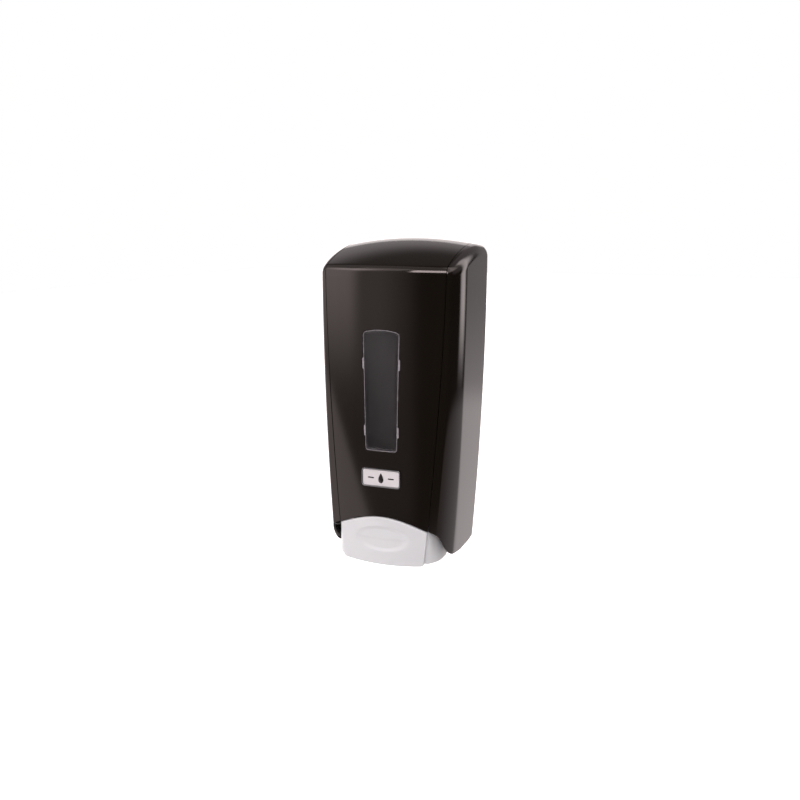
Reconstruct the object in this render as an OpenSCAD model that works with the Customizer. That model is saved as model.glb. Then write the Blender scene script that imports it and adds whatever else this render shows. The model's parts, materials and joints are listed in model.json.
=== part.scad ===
// Wall mounted soap dispenser: a push bar lifts a pump plunger under an upturned refill bottle.
// Millimetres, +Z up, +X to the right, the wall is the plane y = 0 and the front faces -Y.
// The origin is on the wall, in the middle of the four mounting screws.

/* [Body] */
// overall width at the top
body_w = 132; // [118:1:150]
// depth from the wall to the middle of the front
body_d = 104; // [96:1:120]
// overall height from the crest of the roof to the lowest edge of the pad
body_h = 290.6; // [275:0.2:330]
// half width lost from the top to the foot
side_taper = 10.1; // [6:0.1:12]
// wall thickness of the shells
wall_t = 2.6; // [2.2:0.1:3]
// gap between the cover and the cheeks
seam_gap = 0.6; // [0.5:0.05:0.9]

/* [Window and badge] */
// half width of the window at its top
win_hw = 16.9; // [12:0.1:20]
// height of the window
win_h = 107.6; // [70:0.2:120]
// half width of the badge
badge_hw = 18.4; // [14:0.2:22]

/* [Push bar and pump] */
// full push of the lever, in degrees
push_deg = 16; // [10:1:16]
// radius of the lever pivot pins
pivot_r = 2.2; // [1.8:0.1:2.5]
// radius of the cover hinge pins
hinge_r = 2.5; // [2:0.1:3]
// outer radius of the pump collar
collar_r = 20; // [18:0.5:22]

/* [Mounting] */
// spacing of the wall screws across
screw_x = 64; // [50:1:76]
// spacing of the wall screws up the wall
screw_z = 152; // [120:1:170]
// radius of the wall screw holes
screw_r = 2.6; // [2:0.1:3.2]

/* [Hidden] */
$fn = 64;

// heights: zb is the foot datum of the cheeks, z_top the crest, z_edge where the taper starts
z_top = body_h / 2;
zb = 6.6 - body_h / 2;
z_edge = z_top - 22;
edge_h = z_edge - zb;
plate_t = 3;
front_r = 175 * pow((body_w - 49.6) / 82.4, 2);
corner_x = 7.7;
corner_y = 28.6;
top_r = 5.4;
seam_top = body_w / 2 - 10;
gap_h = seam_gap / 2;
y_rear = -20;
y_back = -plate_t - 0.2;

// ---- the outer skin ----
function fall(z) = max(0, (z_edge - z) / edge_h);
function half_w(z) = body_w / 2 - side_taper * pow(fall(z), 1.98);
function seam_x(z) = seam_top - 15.8 * pow(fall(z), 1.51);
function side_in(z) = corner_y + 14 * pow(fall(z), 2);
function front_y(x, z) = -body_d + 1.2 * pow((z - zb - 100) / 160, 2)
    + front_r - sqrt(front_r * front_r - x * x);
function roof(x, y) = z_top - 5 * pow(x / seam_top, 2)
    - 18.8 * pow(max(0, (y_rear - y) / (body_d - 31.5)), 1.8) - 0.8 * pow(max(0, (y - y_rear) / 20), 2);
function arch_z(y) = let (d = max(0, 44 - body_d - y))
    zb - 3.5 + 0.0212 * d * d + 2.3 * pow(max(0, (d - 38.6) / 5.4), 2)
    - 2.9 * smooth((y + body_d - 38) / 26) + 1.4 * smooth((y + 16) / 14);
function mix(a, b, t) = a * (1 - t) + b * t;
function bez2(a, b, c, t) = a * (1 - t) * (1 - t) + b * 2 * t * (1 - t) + c * t * t;
function bez3(a, b, c, d, t) = a * pow(1 - t, 3) + b * 3 * t * pow(1 - t, 2)
    + c * 3 * t * t * (1 - t) + d * pow(t, 3);
function smooth(t) = let (s = min(1, max(0, t))) s * s * (3 - 2 * s);

// a point of the cover: v runs across, row down the path over the roof and down the front
function cover_pt(v, row, t) =
    let (xt = v * (seam_top - gap_h), yf = front_y(xt, z_edge) + t, re = top_r - t,
        p_in = [xt, yf + re, roof(xt, yf + re) - t], p_c = [xt, yf, roof(xt, yf) - t],
        p_out = [xt, yf, roof(xt, yf) - t - re])
    row < 5 ? let (y = mix(y_rear, yf + re, row / 5)) [xt, y, roof(xt, y) - t]
    : row < 8 ? bez2(p_in, p_c, p_out, (row - 5) / 3)
    : let (x_low = v * (seam_x(zb + 30) - gap_h), z_low = arch_z(front_y(x_low, zb + 30)),
        z = mix(p_out[2], z_low, (row - 8) / 9), x = v * (seam_x(z) - gap_h))
        [x, front_y(x, z) + t, z];

// a point of the right cheek in plan: c is 0 to 1 on the front, to 2 round the corner, to 3 along the side
function cheek_xy(c, z, t) =
    let (xs = seam_x(z) + gap_h, xc = half_w(z) - corner_x, yc = front_y(xc, z), a = asin(xc / front_r),
        k = side_in(z))
    c <= 1 ? let (x = mix(xs, xc, c)) [x, front_y(x, z) + t]
    : c <= 2 ? bez3([xc, yc + t], [xc, yc + t] + [cos(a), sin(a)] * 0.55 * (corner_x - t),
        [half_w(z) - t, yc + k - 0.55 * (k - t)], [half_w(z) - t, yc + k], c - 1)
    : [half_w(z) - t, mix(yc + k, -plate_t, c - 2)];
function cheek_pt(c, row, t) =
    let (f = smooth((c - 0.5) / 1.5), q = cheek_xy(c, z_edge, t), re = top_r - t,
        p3y = q[1] + re * (1 - f), p3x = seam_top + gap_h,
        z_low = arch_z(cheek_xy(c, zb + 15, 0)[1]),
        z_we = roof(q[0], q[1]) - t - mix(re, 10 - t, f))
    row <= 7 ? let (z = mix(z_low, z_we, row / 7), p = cheek_xy(c, z, t)) [p[0], p[1], z]
    : let (q2 = cheek_xy(c, z_we, t), d = [p3x, p3y] - q2, m = q2 + d * 0.4)
        bez3([q2[0], q2[1], z_we], [q2[0], q2[1], mix(z_we, roof(q2[0], q2[1]) - t, 0.6)],
            [m[0], m[1], roof(m[0], m[1]) - t], [p3x, p3y, roof(p3x, p3y) - t], (row - 7) / 4);

// a closed shell between two grids of ni rows and nj columns
module shell(outer, inner, ni, nj, flip) {
    n = ni * nj;
    function tri(a, b, c) = flip ? [a, c, b] : [a, b, c];
    function quad(a, b, c, d) = [tri(a, b, c), tri(a, c, d)];
    out_f = [for (i = [0:ni - 2], j = [0:nj - 2]) each
        quad(i * nj + j, i * nj + j + 1, (i + 1) * nj + j + 1, (i + 1) * nj + j)];
    in_f = [for (f = out_f) [f[0] + n, f[2] + n, f[1] + n]];
    rows = [for (j = [0:nj - 2]) each concat(quad(j, j + n, j + 1 + n, j + 1),
        quad((ni - 1) * nj + j, (ni - 1) * nj + j + 1, (ni - 1) * nj + j + 1 + n, (ni - 1) * nj + j + n))];
    cols = [for (i = [0:ni - 2]) each concat(quad(i * nj, (i + 1) * nj, (i + 1) * nj + n, i * nj + n),
        quad(i * nj + nj - 1, i * nj + nj - 1 + n, (i + 1) * nj + nj - 1 + n, (i + 1) * nj + nj - 1))];
    polyhedron(points = concat([for (r = outer) each r], [for (r = inner) each r]),
        faces = concat(out_f, in_f, rows, cols), convexity = 8);
}

// ---- extrusions along the axes ----
module along_x(x0, x1) { translate([x0, 0, 0]) rotate([90, 0, 90]) linear_extrude(x1 - x0) children(); }
module along_y(y0, y1) { translate([0, y1, 0]) rotate([90, 0, 0]) linear_extrude(y1 - y0) children(); }
module rod_x(x0, x1, y, z, r) { translate([x0, y, z]) rotate([0, 90, 0]) cylinder(r = r, h = x1 - x0); }
module rod_y(y0, y1, x, z, r) { translate([x, y1, z]) rotate([90, 0, 0]) cylinder(r = r, h = y1 - y0); }
module rod_z(z0, z1, x, y, r) { translate([x, y, z0]) cylinder(r = r, h = z1 - z0); }
module box(x0, x1, y0, y1, z0, z1) { translate([x0, y0, z0]) cube([x1 - x0, y1 - y0, z1 - z0]); }
module both() { children(); mirror([1, 0, 0]) children(); }
module round_rect(x0, x1, z0, z1, r) {
    union() {
        translate([x0 + r, z0]) square([x1 - x0 - 2 * r, z1 - z0]);
        translate([x0, z0 + r]) square([x1 - x0, z1 - z0 - 2 * r]);
        for (x = [x0 + r, x1 - r], z = [z0 + r, z1 - r]) translate([x, z]) circle(r = r);
    }
}
// the front cylinder of the body, from depth a to depth b behind the skin at height z
module front_skin(a, b, z) {
    yc = front_y(0, z) + front_r;
    difference() {
        rod_z(zb - 40, z_top, 0, yc, front_r - a, $fn = 180);
        rod_z(zb - 50, z_top + 10, 0, yc, front_r - b, $fn = 180);
    }
}

// ---- mechanism positions ----
noz_y = 38 - body_d;
hin_y = noz_y + 20;
hin_z = zb + 2;
piv_y = 9.4 - body_d + wall_t;
piv_z = zb + 44;
arm_x = seam_x(zb + 28) - 1.5;
arm_t = 3;
ear_x = arm_x - arm_t - 0.6;
ear_t = 3.6;
nose_y = noz_y - 3.2;
nose_z = zb + 11;
nose_r = 3;
flange_z = nose_z + nose_r + 0.3;
nose_dy = nose_y - piv_y;
nose_dz = nose_z - piv_z;
stroke = nose_dy * sin(push_deg) + nose_dz * (cos(push_deg) - 1);
lock_y = -12;
win_top = zb + 206.9 + (edge_h - 262) * 0.5;
win_bot = win_top - win_h;
badge_z = win_bot - 24.6;
badge_hh = 8.3;
cradle_z = zb + 52;
screw_h = cradle_z + 6.3;
bottle_z = zb + 62;
bottle_top = z_top - 48;
flange_y1 = y_back - wall_t - 4;
flange_y0 = flange_y1 - 3;
bot_y0 = 16 - body_d;
bot_y1 = flange_y0 - 0.6;
bot_x = seam_x(zb + 62) + 1.5;
cradle_sx = bot_x - 7;
cyl_z0 = flange_z + stroke + 4.4;
spring_z0 = zb + 46;
spring_z1 = zb + 68;

// ---- wall side ----
module wall_outline(inset, z_lo, z_hi) {
    zs = [for (i = [0:10]) mix(z_lo, z_hi, i / 10)];
    polygon(concat([for (z = zs) [half_w(z) - inset, z]],
        [for (i = [10:-1:0]) [-half_w(zs[i]) + inset, zs[i]]]));
}
hook_zs = [-98, 98] * body_h / 290.6;
module wall_plate() {
    color("#3a3a3c") difference() {
        union() {
            along_y(-plate_t, 0) wall_outline(1.2, zb - 5.8, z_top - 22);
            for (x = [-26, 26], z = hook_zs) {
                box(x - 6, x + 6, -9.4, -plate_t + 0.5, z - 1.5, z + 1.5);
                box(x - 6, x + 6, -9.4, -7.2, z - 1.5, z + 7);
            }
        }
        for (x = [-1, 1] * screw_x / 2, z = [-1, 1] * screw_z / 2) rod_y(-plate_t - 1, 1, x, z, screw_r);
        for (z = [-44, 44]) box(-22.2, 22.2, -1, 1, z - 22.2, z + 22.2);
    }
}
module adhesive_pads() {
    color("#d8d4c8") for (z = [-44, 44]) box(-22, 22, -1, 0, z - 22, z + 22);
}

// ---- rear housing ----
module cheek() {
    cs = [0, 0.5, 1, 1.17, 1.34, 1.5, 1.67, 1.84, 2, 2.33, 2.67, 3];
    shell([for (r = [0:11]) [for (c = cs) cheek_pt(c, r, 0)]],
        [for (r = [0:11]) [for (c = cs) cheek_pt(c, r, wall_t)]], 12, 12, true);
}
module rear_housing() {
    in_x = half_w(hin_z) - wall_t + 0.8;
    color("#1d1b1c") difference() {
        union() {
            both() {
                cheek();
                rod_x(arm_x + 2.4, in_x, hin_y, hin_z, hinge_r + 2.4);
                rod_y(flange_y1, y_back - 1, cradle_sx, screw_h, 4);
            }
            along_y(y_back - wall_t, y_back) wall_outline(1.1, zb - 3, z_top - 12);
            // roof ledge behind the cover
            along_y(y_rear + 0.6, y_back - 0.3) polygon(concat(
                [for (i = [-8:8]) let (x = i * (seam_top + 1.6) / 8) [x, roof(x, -8) - 0.25]],
                [for (i = [8:-1:-8]) let (x = i * (seam_top + 1.6) / 8) [x, roof(x, -8) - wall_t]]));
            along_y(y_back - wall_t, y_back - 0.3) polygon([[-seam_top, z_top - 14], [seam_top, z_top - 14],
                [seam_top, roof(seam_top, -8) - 1], [0, z_top - 1.4], [-seam_top, roof(seam_top, -8) - 1]]);
            for (x = [-1, 1] * screw_x / 2, z = [-1, 1] * screw_z / 2)
                rod_y(-8.2, y_back - 1, x, z, screw_r + 3);
            rod_z(z_top - 5.4, z_top - 2, 0, lock_y, 7.2);
        }
        for (x = [-1, 1] * screw_x / 2, z = [-1, 1] * screw_z / 2) rod_y(-12, 1, x, z, screw_r);
        for (x = [-26, 26], z = hook_zs) box(x - 6.5, x + 6.5, -12, 1, z - 8.5, z + 2);
        rod_z(z_top - 8, z_top + 4, 0, lock_y, 4.55);
        both() rod_x(arm_x - 1, in_x - 1.4, hin_y, hin_z, hinge_r + 0.05);
        both() rod_y(flange_y1 - 1, y_back - 0.8, cradle_sx, screw_h, 1.6);
    }
}

// ---- front cover ----
module window_shape(grow) {
    w1 = win_hw + grow;
    w0 = win_hw - 2 + grow;
    z1 = win_top + grow;
    z0 = win_bot - grow;
    union() {
        polygon([[-w0 + 3, z0], [w0 - 3, z0], [w0, z0 + 3], [w1, z1 - 4.8], [w1 - 0.9, z1 - 2.7],
            [w1 - 3, z1 - 1.8], [9, z1 - 0.6], [0, z1], [-9, z1 - 0.6], [-w1 + 3, z1 - 1.8],
            [-w1 + 0.9, z1 - 2.7], [-w1, z1 - 4.8], [-w0, z0 + 3]]);
        for (s = [-1, 1]) translate([s * (w0 - 3), z0 + 3]) circle(r = 3);
    }
}
module cover_arm() {
    difference() {
        union() {
            along_x(arm_x - arm_t, arm_x) polygon([
                [front_y(arm_x, piv_z) + 1.6, zb + 34], [front_y(arm_x, piv_z) + 1.6, zb + 66],
                [piv_y + 3, zb + 54], [piv_y + 12, zb + 46], [hin_y - 8, zb + 40], [hin_y + 5, zb + 22],
                [hin_y + 5.4, hin_z], [hin_y - 5.4, hin_z], [hin_y - 7, zb + 16], [hin_y - 16, zb + 27],
                [piv_y + 6, zb + 31], [piv_y, zb + 36]]);
            rod_x(arm_x - arm_t, arm_x, hin_y, hin_z, 5.4);
            rod_x(arm_x - arm_t, arm_x, piv_y, piv_z, 5);
        }
        rod_x(arm_x - 8, arm_x + 4, hin_y, hin_z, hinge_r);
        rod_x(arm_x - 8, arm_x + 4, piv_y, piv_z, pivot_r);
    }
}
module front_cover() {
    color("#1d1b1c") difference() {
        union() {
            shell([for (r = [0:17]) [for (j = [-4:4]) cover_pt(j / 4, r, 0)]],
                [for (r = [0:17]) [for (j = [-4:4]) cover_pt(j / 4, r, wall_t)]], 18, 9, false);
            both() cover_arm();
        }
        keeper_shape();
        along_y(-body_d - 5, -body_d + 8) window_shape(0.25);
        window_tabs(0.25);
        along_y(-body_d - 5, front_y(0, badge_z) + 1.2) badge_shape(0.2);
    }
}
module keeper_shape() { box(-4, 4, lock_y - 13.6, lock_y - 11.2, z_top - 12, z_top - 2); }
module lock_keeper() { color("#222022") keeper_shape(); }
function tab_zs() = [win_top - 30, win_bot + 17.7];
function win_x(z) = mix(win_hw - 2, win_hw, (z - win_bot - 3) / (win_h - 7.8));
module window_tabs(grow) {
    for (s = [-1, 1], z = tab_zs()) along_y(-body_d - 5, -body_d + 8) translate([s * (win_x(z) + 0.2), z])
        square([2 + 2 * grow, 9.2 + 2 * grow], center = true);
}
module badge_shape(grow) {
    round_rect(-badge_hw - grow, badge_hw + grow, badge_z - badge_hh - grow,
        badge_z + badge_hh + grow, 3 + grow);
}
module window_lens() {
    color("#55555a", 0.5) intersection() {
        union() {
            along_y(-body_d - 5, -body_d + 8) window_shape(0);
            window_tabs(0);
        }
        front_skin(0.5, 2.6, win_top - win_h / 2);
    }
}
module badge_frame() {
    fy = front_y(0, badge_z);
    color("#8d8f92") difference() {
        along_y(fy - 0.6, fy + 1.1) badge_shape(0);
        along_y(fy - 2, fy - 0.1)
            round_rect(-badge_hw + 1.1, badge_hw - 1.1, badge_z - badge_hh + 1.1, badge_z + badge_hh - 1.1, 2);
    }
}
module badge_emblem() {
    fy = front_y(0, badge_z);
    // a teardrop between two short bars
    color("#c9cbce") along_y(fy - 0.5, fy - 0.1) {
        polygon([for (i = [0:23]) let (a = i * 15, k = 3.1 * pow(abs(sin(a / 2)), 0.9))
            [k * sin(a), badge_z + 4.6 * cos(a)]]);
        for (s = [-1, 1]) translate([s * 9.5 - 3, badge_z - 0.6]) square([6, 1.2]);
    }
}

// ---- push bar ----
pad_hw = seam_x(zb + 28) - 0.8;
function pad_top(x, drop) = arch_z(front_y(x, zb + 30)) - drop;
module pad_outline(side, low, drop) {
    w = pad_hw - side;
    v = seam_x(zb - 3) - 0.8 - side;
    polygon(concat([[-v, zb - 3 + low], [-v + 2.2, zb - 5.2 + low], [0, zb - 6.6 + low],
        [v - 2.2, zb - 5.2 + low], [v, zb - 3 + low]],
        [for (i = [8:-1:-8]) [w * i / 8, pad_top(w * i / 8, drop)]]));
}
module push_pad() {
    fy = front_y(0, zb + 16);
    color("#e0ddde") difference() {
        intersection() {
            along_y(-body_d - 4, -body_d + 22) pad_outline(0, 0, 1);
            front_skin(0, 3, zb + 16);
        }
        // shallow finger recess
        translate([0, fy - 440 + 1.9, zb + 15.7]) rotate_extrude($fn = 256)
            translate([440 - 30, 0]) circle(r = 30, $fn = 128);
    }
}
module push_lever() {
    ym = front_y(pad_hw, zb + 16) + wall_t + 0.6;
    color("#dcd9da") difference() {
        union() {
            intersection() {
                along_y(-body_d - 4, -body_d + 22) pad_outline(0.6, 2.4, 4);
                front_skin(3.1, 5.6, zb + 16);
            }
            both() {
                // side wing
                intersection() {
                    translate([0, 0, zb - 3.5]) linear_extrude(36) polygon([[pad_hw - 5.4, ym - 0.6],
                        [pad_hw - 0.5, ym], [pad_hw + 2.6, ym + 3.2], [pad_hw + 5.2, ym + 8],
                        [pad_hw + 6.9, ym + 13], [pad_hw + 7.6, ym + 19], [pad_hw + 7.6, hin_y - 19],
                        [pad_hw + 5.6, hin_y - 19], [pad_hw + 5.6, ym + 19], [pad_hw + 3.4, ym + 10]]);
                    along_x(0, body_w) polygon([[-body_d, zb - 3.5], [hin_y - 19, zb - 3.5],
                        [hin_y - 19, zb + 8], [hin_y - 22, zb + 11], [29 - body_d, zb + 13],
                        [24 - body_d, zb + 18], [17 - body_d, zb + 26], [12 - body_d, zb + 30],
                        [-body_d, zb + 31]]);
                }
                // ear up to the pivot
                along_x(ear_x - ear_t, ear_x) polygon([
                    [front_y(ear_x, zb) + 3.6, zb + 2], [front_y(ear_x, zb) + 3.6, zb + 24],
                    [piv_y - 4.8, piv_z - 4], [piv_y - 4, piv_z], [piv_y + 4.4, piv_z],
                    [piv_y + 5, zb + 30], [piv_y + 2, zb + 4]]);
                rod_x(ear_x - ear_t, ear_x, piv_y, piv_z, 4.8);
                // fork prong under the plunger flange
                along_x(7.5, 11) polygon([[front_y(9, zb) + 4.4, zb - 1], [front_y(9, zb) + 4.4, zb + 20],
                    [piv_y, zb + 17], [nose_y - 2, nose_z + nose_r - 0.4], [nose_y + 1, nose_z],
                    [nose_y, nose_z - nose_r], [piv_y, zb + 3]]);
                rod_x(7.5, 11, nose_y, nose_z, nose_r);
            }
            box(9.6 - ear_x, ear_x - 9.6, piv_y - 5.5, piv_y - 3.5, zb + 6, zb + 9);
        }
        both() rod_x(ear_x - 8, ear_x + 2, piv_y, piv_z, pivot_r + 0.05);
    }
}
module lever_pivot_pins() {
    color("#b9bcc0") both() rod_x(ear_x - ear_t - 8, arm_x, piv_y, piv_z, pivot_r);
}
module ring(r, wire) { rotate_extrude() translate([r, 0]) circle(r = wire); }
module lever_return_springs() {
    x1 = ear_x - ear_t - 1;
    color("#9da0a4") both() union() {
        for (i = [0:4]) translate([x1 - i * 1.1, piv_y, piv_z]) rotate([0, 90, 0]) ring(pivot_r + 1.1, 0.5);
        rod_x(x1 - 4.4, x1, piv_y, piv_z + pivot_r + 1.1, 0.38);
        rod_z(piv_z - 13, piv_z, x1 - 4.4, piv_y + pivot_r + 1.1, 0.4);
    }
}
module cover_hinge_pins() {
    color("#b9bcc0") both() rod_x(arm_x - arm_t - 1, half_w(hin_z) - wall_t - 1.2, hin_y, hin_z, hinge_r);
}

// ---- lock ----
module lock_barrel() {
    color("#b4b6b9") difference() {
        union() {
            rod_z(z_top - 12, z_top - 0.9, 0, lock_y, 4.5);
            rod_z(z_top - 12, z_top - 5.8, 0, lock_y, y_back - wall_t - lock_y - 0.4);
            box(-2, 2, lock_y - 2, lock_y + 2, z_top - 16, z_top - 11);
        }
        box(-0.6, 0.6, lock_y - 2.8, lock_y + 2.8, z_top - 4, z_top);
        rod_z(z_top - 17, z_top - 10, 0, lock_y, 1);
    }
}
module lock_cam() {
    color("#a6a9ad") difference() {
        union() {
            rod_z(z_top - 15.6, z_top - 13.8, 0, lock_y, 5);
            box(0, 18, lock_y - 3, lock_y + 3, z_top - 15.6, z_top - 13.8);
            box(15.8, 18, lock_y - 3, lock_y + 3, z_top - 15.6, z_top - 9);
        }
        box(-2, 2, lock_y - 2, lock_y + 2, z_top - 17, z_top - 12);
    }
}
module cam_screw() {
    color("#c4c6c8") difference() {
        union() {
            rod_z(z_top - 17.6, z_top - 16, 0, lock_y, 3.4);
            rod_z(z_top - 16.2, z_top - 10.4, 0, lock_y, 1);
        }
        box(-2.4, 2.4, lock_y - 0.4, lock_y + 0.4, z_top - 18, z_top - 17);
    }
}

// ---- refill and its cradle ----
module refill_cradle() {
    cw = bot_x + 3.6;
    color("#2a292b") difference() {
        union() {
            box(-cw, cw, 20 - body_d, flange_y1, cradle_z, cradle_z + 3);
            box(-cw, cw, flange_y0, flange_y1, cradle_z, cradle_z + 28);
            both() along_x(cw - 3, cw) polygon([[flange_y1 - 1, cradle_z + 1], [flange_y1 - 1, cradle_z + 26],
                [noz_y, cradle_z + 8], [20 - body_d, cradle_z + 8], [20 - body_d, cradle_z + 1]]);
        }
        rod_z(cradle_z - 2, cradle_z + 6, 0, noz_y, 17.2);
        box(-17.2, 17.2, -body_d - 2, noz_y, cradle_z - 2, cradle_z + 6);
        both() rod_y(flange_y0 - 1, flange_y1 + 1, cradle_sx, screw_h, 1.9);
    }
}
module cradle_screws() {
    color("#c4c6c8") both() difference() {
        union() {
            rod_y(flange_y0 - 2, flange_y0, cradle_sx, screw_h, 3.2);
            rod_y(flange_y0 - 1, y_back - 1, cradle_sx, screw_h, 1.6);
        }
        for (w = [[2.4, 0.4], [0.4, 2.4]])
            box(cradle_sx - w.x, cradle_sx + w.x, flange_y0 - 3, flange_y0 - 1.1, screw_h - w.y, screw_h + w.y);
    }
}
module bottle_solid(t) {
    yc = (bot_y0 + bot_y1) / 2;
    difference() {
        union() {
            translate([0, 0, bottle_z + t]) linear_extrude(bottle_top - bottle_z - 2 * t)
                round_rect(-bot_x + t, bot_x - t, bot_y0 + t, bot_y1 - t, 15 - t);
            rod_z(zb + 39.4 - t, bottle_z + t + 1, 0, noz_y, 15.6 - t);
        }
    }
}
module refill_bottle() {
    color("#e9e9e4", 0.6) difference() {
        union() {
            bottle_solid(0);
            rod_z(cradle_z + 3.4, bottle_z + 1, 0, noz_y, 19);
        }
        bottle_solid(1.4);
        rod_z(zb + 30, zb + 50, 0, noz_y, 14.2);
    }
}
module neck_gasket() {
    color("#8a8a86") difference() {
        rod_z(zb + 38.1, zb + 39.3, 0, noz_y, 15.4);
        rod_z(zb + 37, zb + 40, 0, noz_y, 11);
    }
}
module pump_collar() {
    color("#f0efec") difference() {
        rod_z(zb + 33.4, cradle_z - 1.4, 0, noz_y, collar_r);
        rod_z(zb + 36.5, cradle_z, 0, noz_y, 15.8);
        rod_z(zb + 33, zb + 40, 0, noz_y, 9.3);
    }
}
module pump_cylinder() {
    color("#f4f3f0", 0.8) difference() {
        union() {
            rod_z(cyl_z0, zb + 78, 0, noz_y, 9);
            rod_z(zb + 36.6, zb + 38, 0, noz_y, 15.2);
            rod_z(zb + 77, zb + 84, 0, noz_y, 5);
        }
        rod_z(cyl_z0 + 2, spring_z1 + 0.2, 0, noz_y, 7.3);
        rod_z(cyl_z0 - 1, cyl_z0 + 3, 0, noz_y, 4.6);
        rod_z(spring_z1 - 1, zb + 70, 0, noz_y, 2.6);
        rod_z(zb + 69.4, zb + 75, 0, noz_y, 4.6);
        rod_z(zb + 74, zb + 86, 0, noz_y, 1.8);
    }
}
module pump_plunger() {
    color("#f4f3f0") difference() {
        union() {
            rod_z(zb + 1.6, spring_z0 - 6, 0, noz_y, 4.3);
            rod_z(flange_z, flange_z + 2.6, 0, noz_y, 12.5);
            rod_z(spring_z0 - 7, spring_z0 - 0.4, 0, noz_y, 6.8);
        }
        rod_z(zb, spring_z0 + 1, 0, noz_y, 2.2);
        rod_z(zb, zb + 6, 0, noz_y, 3);
    }
}
module pump_spring() {
    n = 7;
    color("#9da0a4") union() {
        for (i = [0:n - 1])
            translate([0, noz_y, mix(spring_z0 + 0.6, spring_z1 - 0.6, i / (n - 1))]) ring(5.6, 0.5);
        rod_z(spring_z0 + 0.6, spring_z1 - 0.6, 5.6, noz_y, 0.4);
    }
}
module inlet_ball() { color("#d0d2d4") translate([0, noz_y, zb + 71.3]) sphere(r = 3); }
module outlet_valve() {
    color("#d9d6d0") difference() {
        union() {
            rod_z(zb + 1.2, zb + 5.6, 0, noz_y, 2.9);
            rod_z(zb + 0.2, zb + 1.5, 0, noz_y, 3.6);
        }
        rod_z(zb - 1, zb + 4.6, 0, noz_y, 1.5);
    }
}

wall_plate();
adhesive_pads();
rear_housing();
front_cover();
window_lens();
badge_frame();
badge_emblem();
lock_keeper();
push_lever();
push_pad();
lever_pivot_pins();
lever_return_springs();
cover_hinge_pins();
lock_barrel();
lock_cam();
cam_screw();
refill_cradle();
cradle_screws();
refill_bottle();
neck_gasket();
pump_collar();
pump_cylinder();
pump_plunger();
pump_spring();
inlet_ball();
outlet_valve();
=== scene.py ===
"""Looks of a wall mounted soap dispenser with a push bar, a viewing window and a locking cover.

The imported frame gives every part's place and motion. This script makes the parts that are seen in
full detail, gives each one the finish of its real material and lights it as in a product studio.
Lengths inside the classes are millimetres; meshes are made in metres.
"""

import json
import logging
import math
from dataclasses import dataclass, field
from enum import Enum
from typing import Callable, Iterable, Sequence

import bmesh
import bpy
import numpy as np
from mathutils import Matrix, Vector

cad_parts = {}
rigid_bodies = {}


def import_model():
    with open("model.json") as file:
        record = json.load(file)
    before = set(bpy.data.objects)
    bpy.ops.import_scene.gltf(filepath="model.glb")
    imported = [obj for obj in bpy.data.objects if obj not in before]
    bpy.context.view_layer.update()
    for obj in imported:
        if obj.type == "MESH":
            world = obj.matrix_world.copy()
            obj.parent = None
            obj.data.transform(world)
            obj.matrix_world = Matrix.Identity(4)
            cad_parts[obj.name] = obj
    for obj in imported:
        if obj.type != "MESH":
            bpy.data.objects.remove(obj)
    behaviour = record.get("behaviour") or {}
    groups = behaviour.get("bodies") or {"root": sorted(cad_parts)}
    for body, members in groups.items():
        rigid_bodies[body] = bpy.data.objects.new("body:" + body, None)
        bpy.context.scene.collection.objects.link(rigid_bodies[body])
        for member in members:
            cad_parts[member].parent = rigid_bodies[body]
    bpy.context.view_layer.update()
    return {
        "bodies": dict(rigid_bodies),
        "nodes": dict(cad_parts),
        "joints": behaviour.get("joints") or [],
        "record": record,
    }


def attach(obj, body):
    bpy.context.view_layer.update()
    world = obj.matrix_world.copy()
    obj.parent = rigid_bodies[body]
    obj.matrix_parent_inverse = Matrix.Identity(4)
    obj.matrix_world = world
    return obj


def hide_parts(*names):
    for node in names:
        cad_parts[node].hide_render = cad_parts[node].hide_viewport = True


LOG = logging.getLogger("dispenser")
MM = 0.001
Array = np.ndarray
Pair = tuple[float, float]


class Body(Enum):
    """The rigid bodies that pieces ride on."""

    HOUSING = "housing"
    COVER = "cover"
    LEVER = "lever"
    PLUNGER = "plunger"
    LOCK = "lock"


class Side(Enum):
    """The two mirrored sides of the body."""

    RIGHT = 1.0
    LEFT = -1.0


class Axis(Enum):
    """The axis that a straight part is drawn along."""

    X = 0
    Y = 1
    Z = 2


# ---------------------------------------------------------------- colours and node helpers


def linear(code: str) -> tuple[float, float, float, float]:
    """Turns an sRGB hex colour into linear RGBA.

    Args:
        code: Colour such as "#1d1b1c".

    Returns:
        Linear red, green, blue and an alpha of 1.
    """
    parts = [int(code[i : i + 2], 16) / 255 for i in (1, 3, 5)]
    r, g, b = (p / 12.92 if p <= 0.04045 else ((p + 0.055) / 1.055) ** 2.4 for p in parts)
    return r, g, b, 1.0


def add(
    tree: bpy.types.NodeTree,
    kind: str,
    settings: dict[str, object] | None = None,
    **inputs: object,
) -> bpy.types.Node:
    """Adds one node with its settings, input values and links.

    Args:
        tree: Node tree of a material, a world or a modifier.
        kind: Blender's name of the node type.
        settings: Attributes of the node, such as its operation.
        **inputs: Value or output socket for each input, named by its label with "_" for a space,
            or "i0", "i1" and so on by its place.

    Returns:
        The new node.
    """
    node = tree.nodes.new(kind)
    for key, value in (settings or {}).items():
        setattr(node, key, value)
    for key, value in inputs.items():
        place = key[1:]
        if key[0] == "i" and place.isdigit():
            socket = node.inputs[int(place)]
        else:
            socket = node.inputs[key.replace("_", " ")]
        if isinstance(value, bpy.types.NodeSocket):
            tree.links.new(value, socket)
        else:
            socket.default_value = value
    return node


# ---------------------------------------------------------------- finishes


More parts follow.
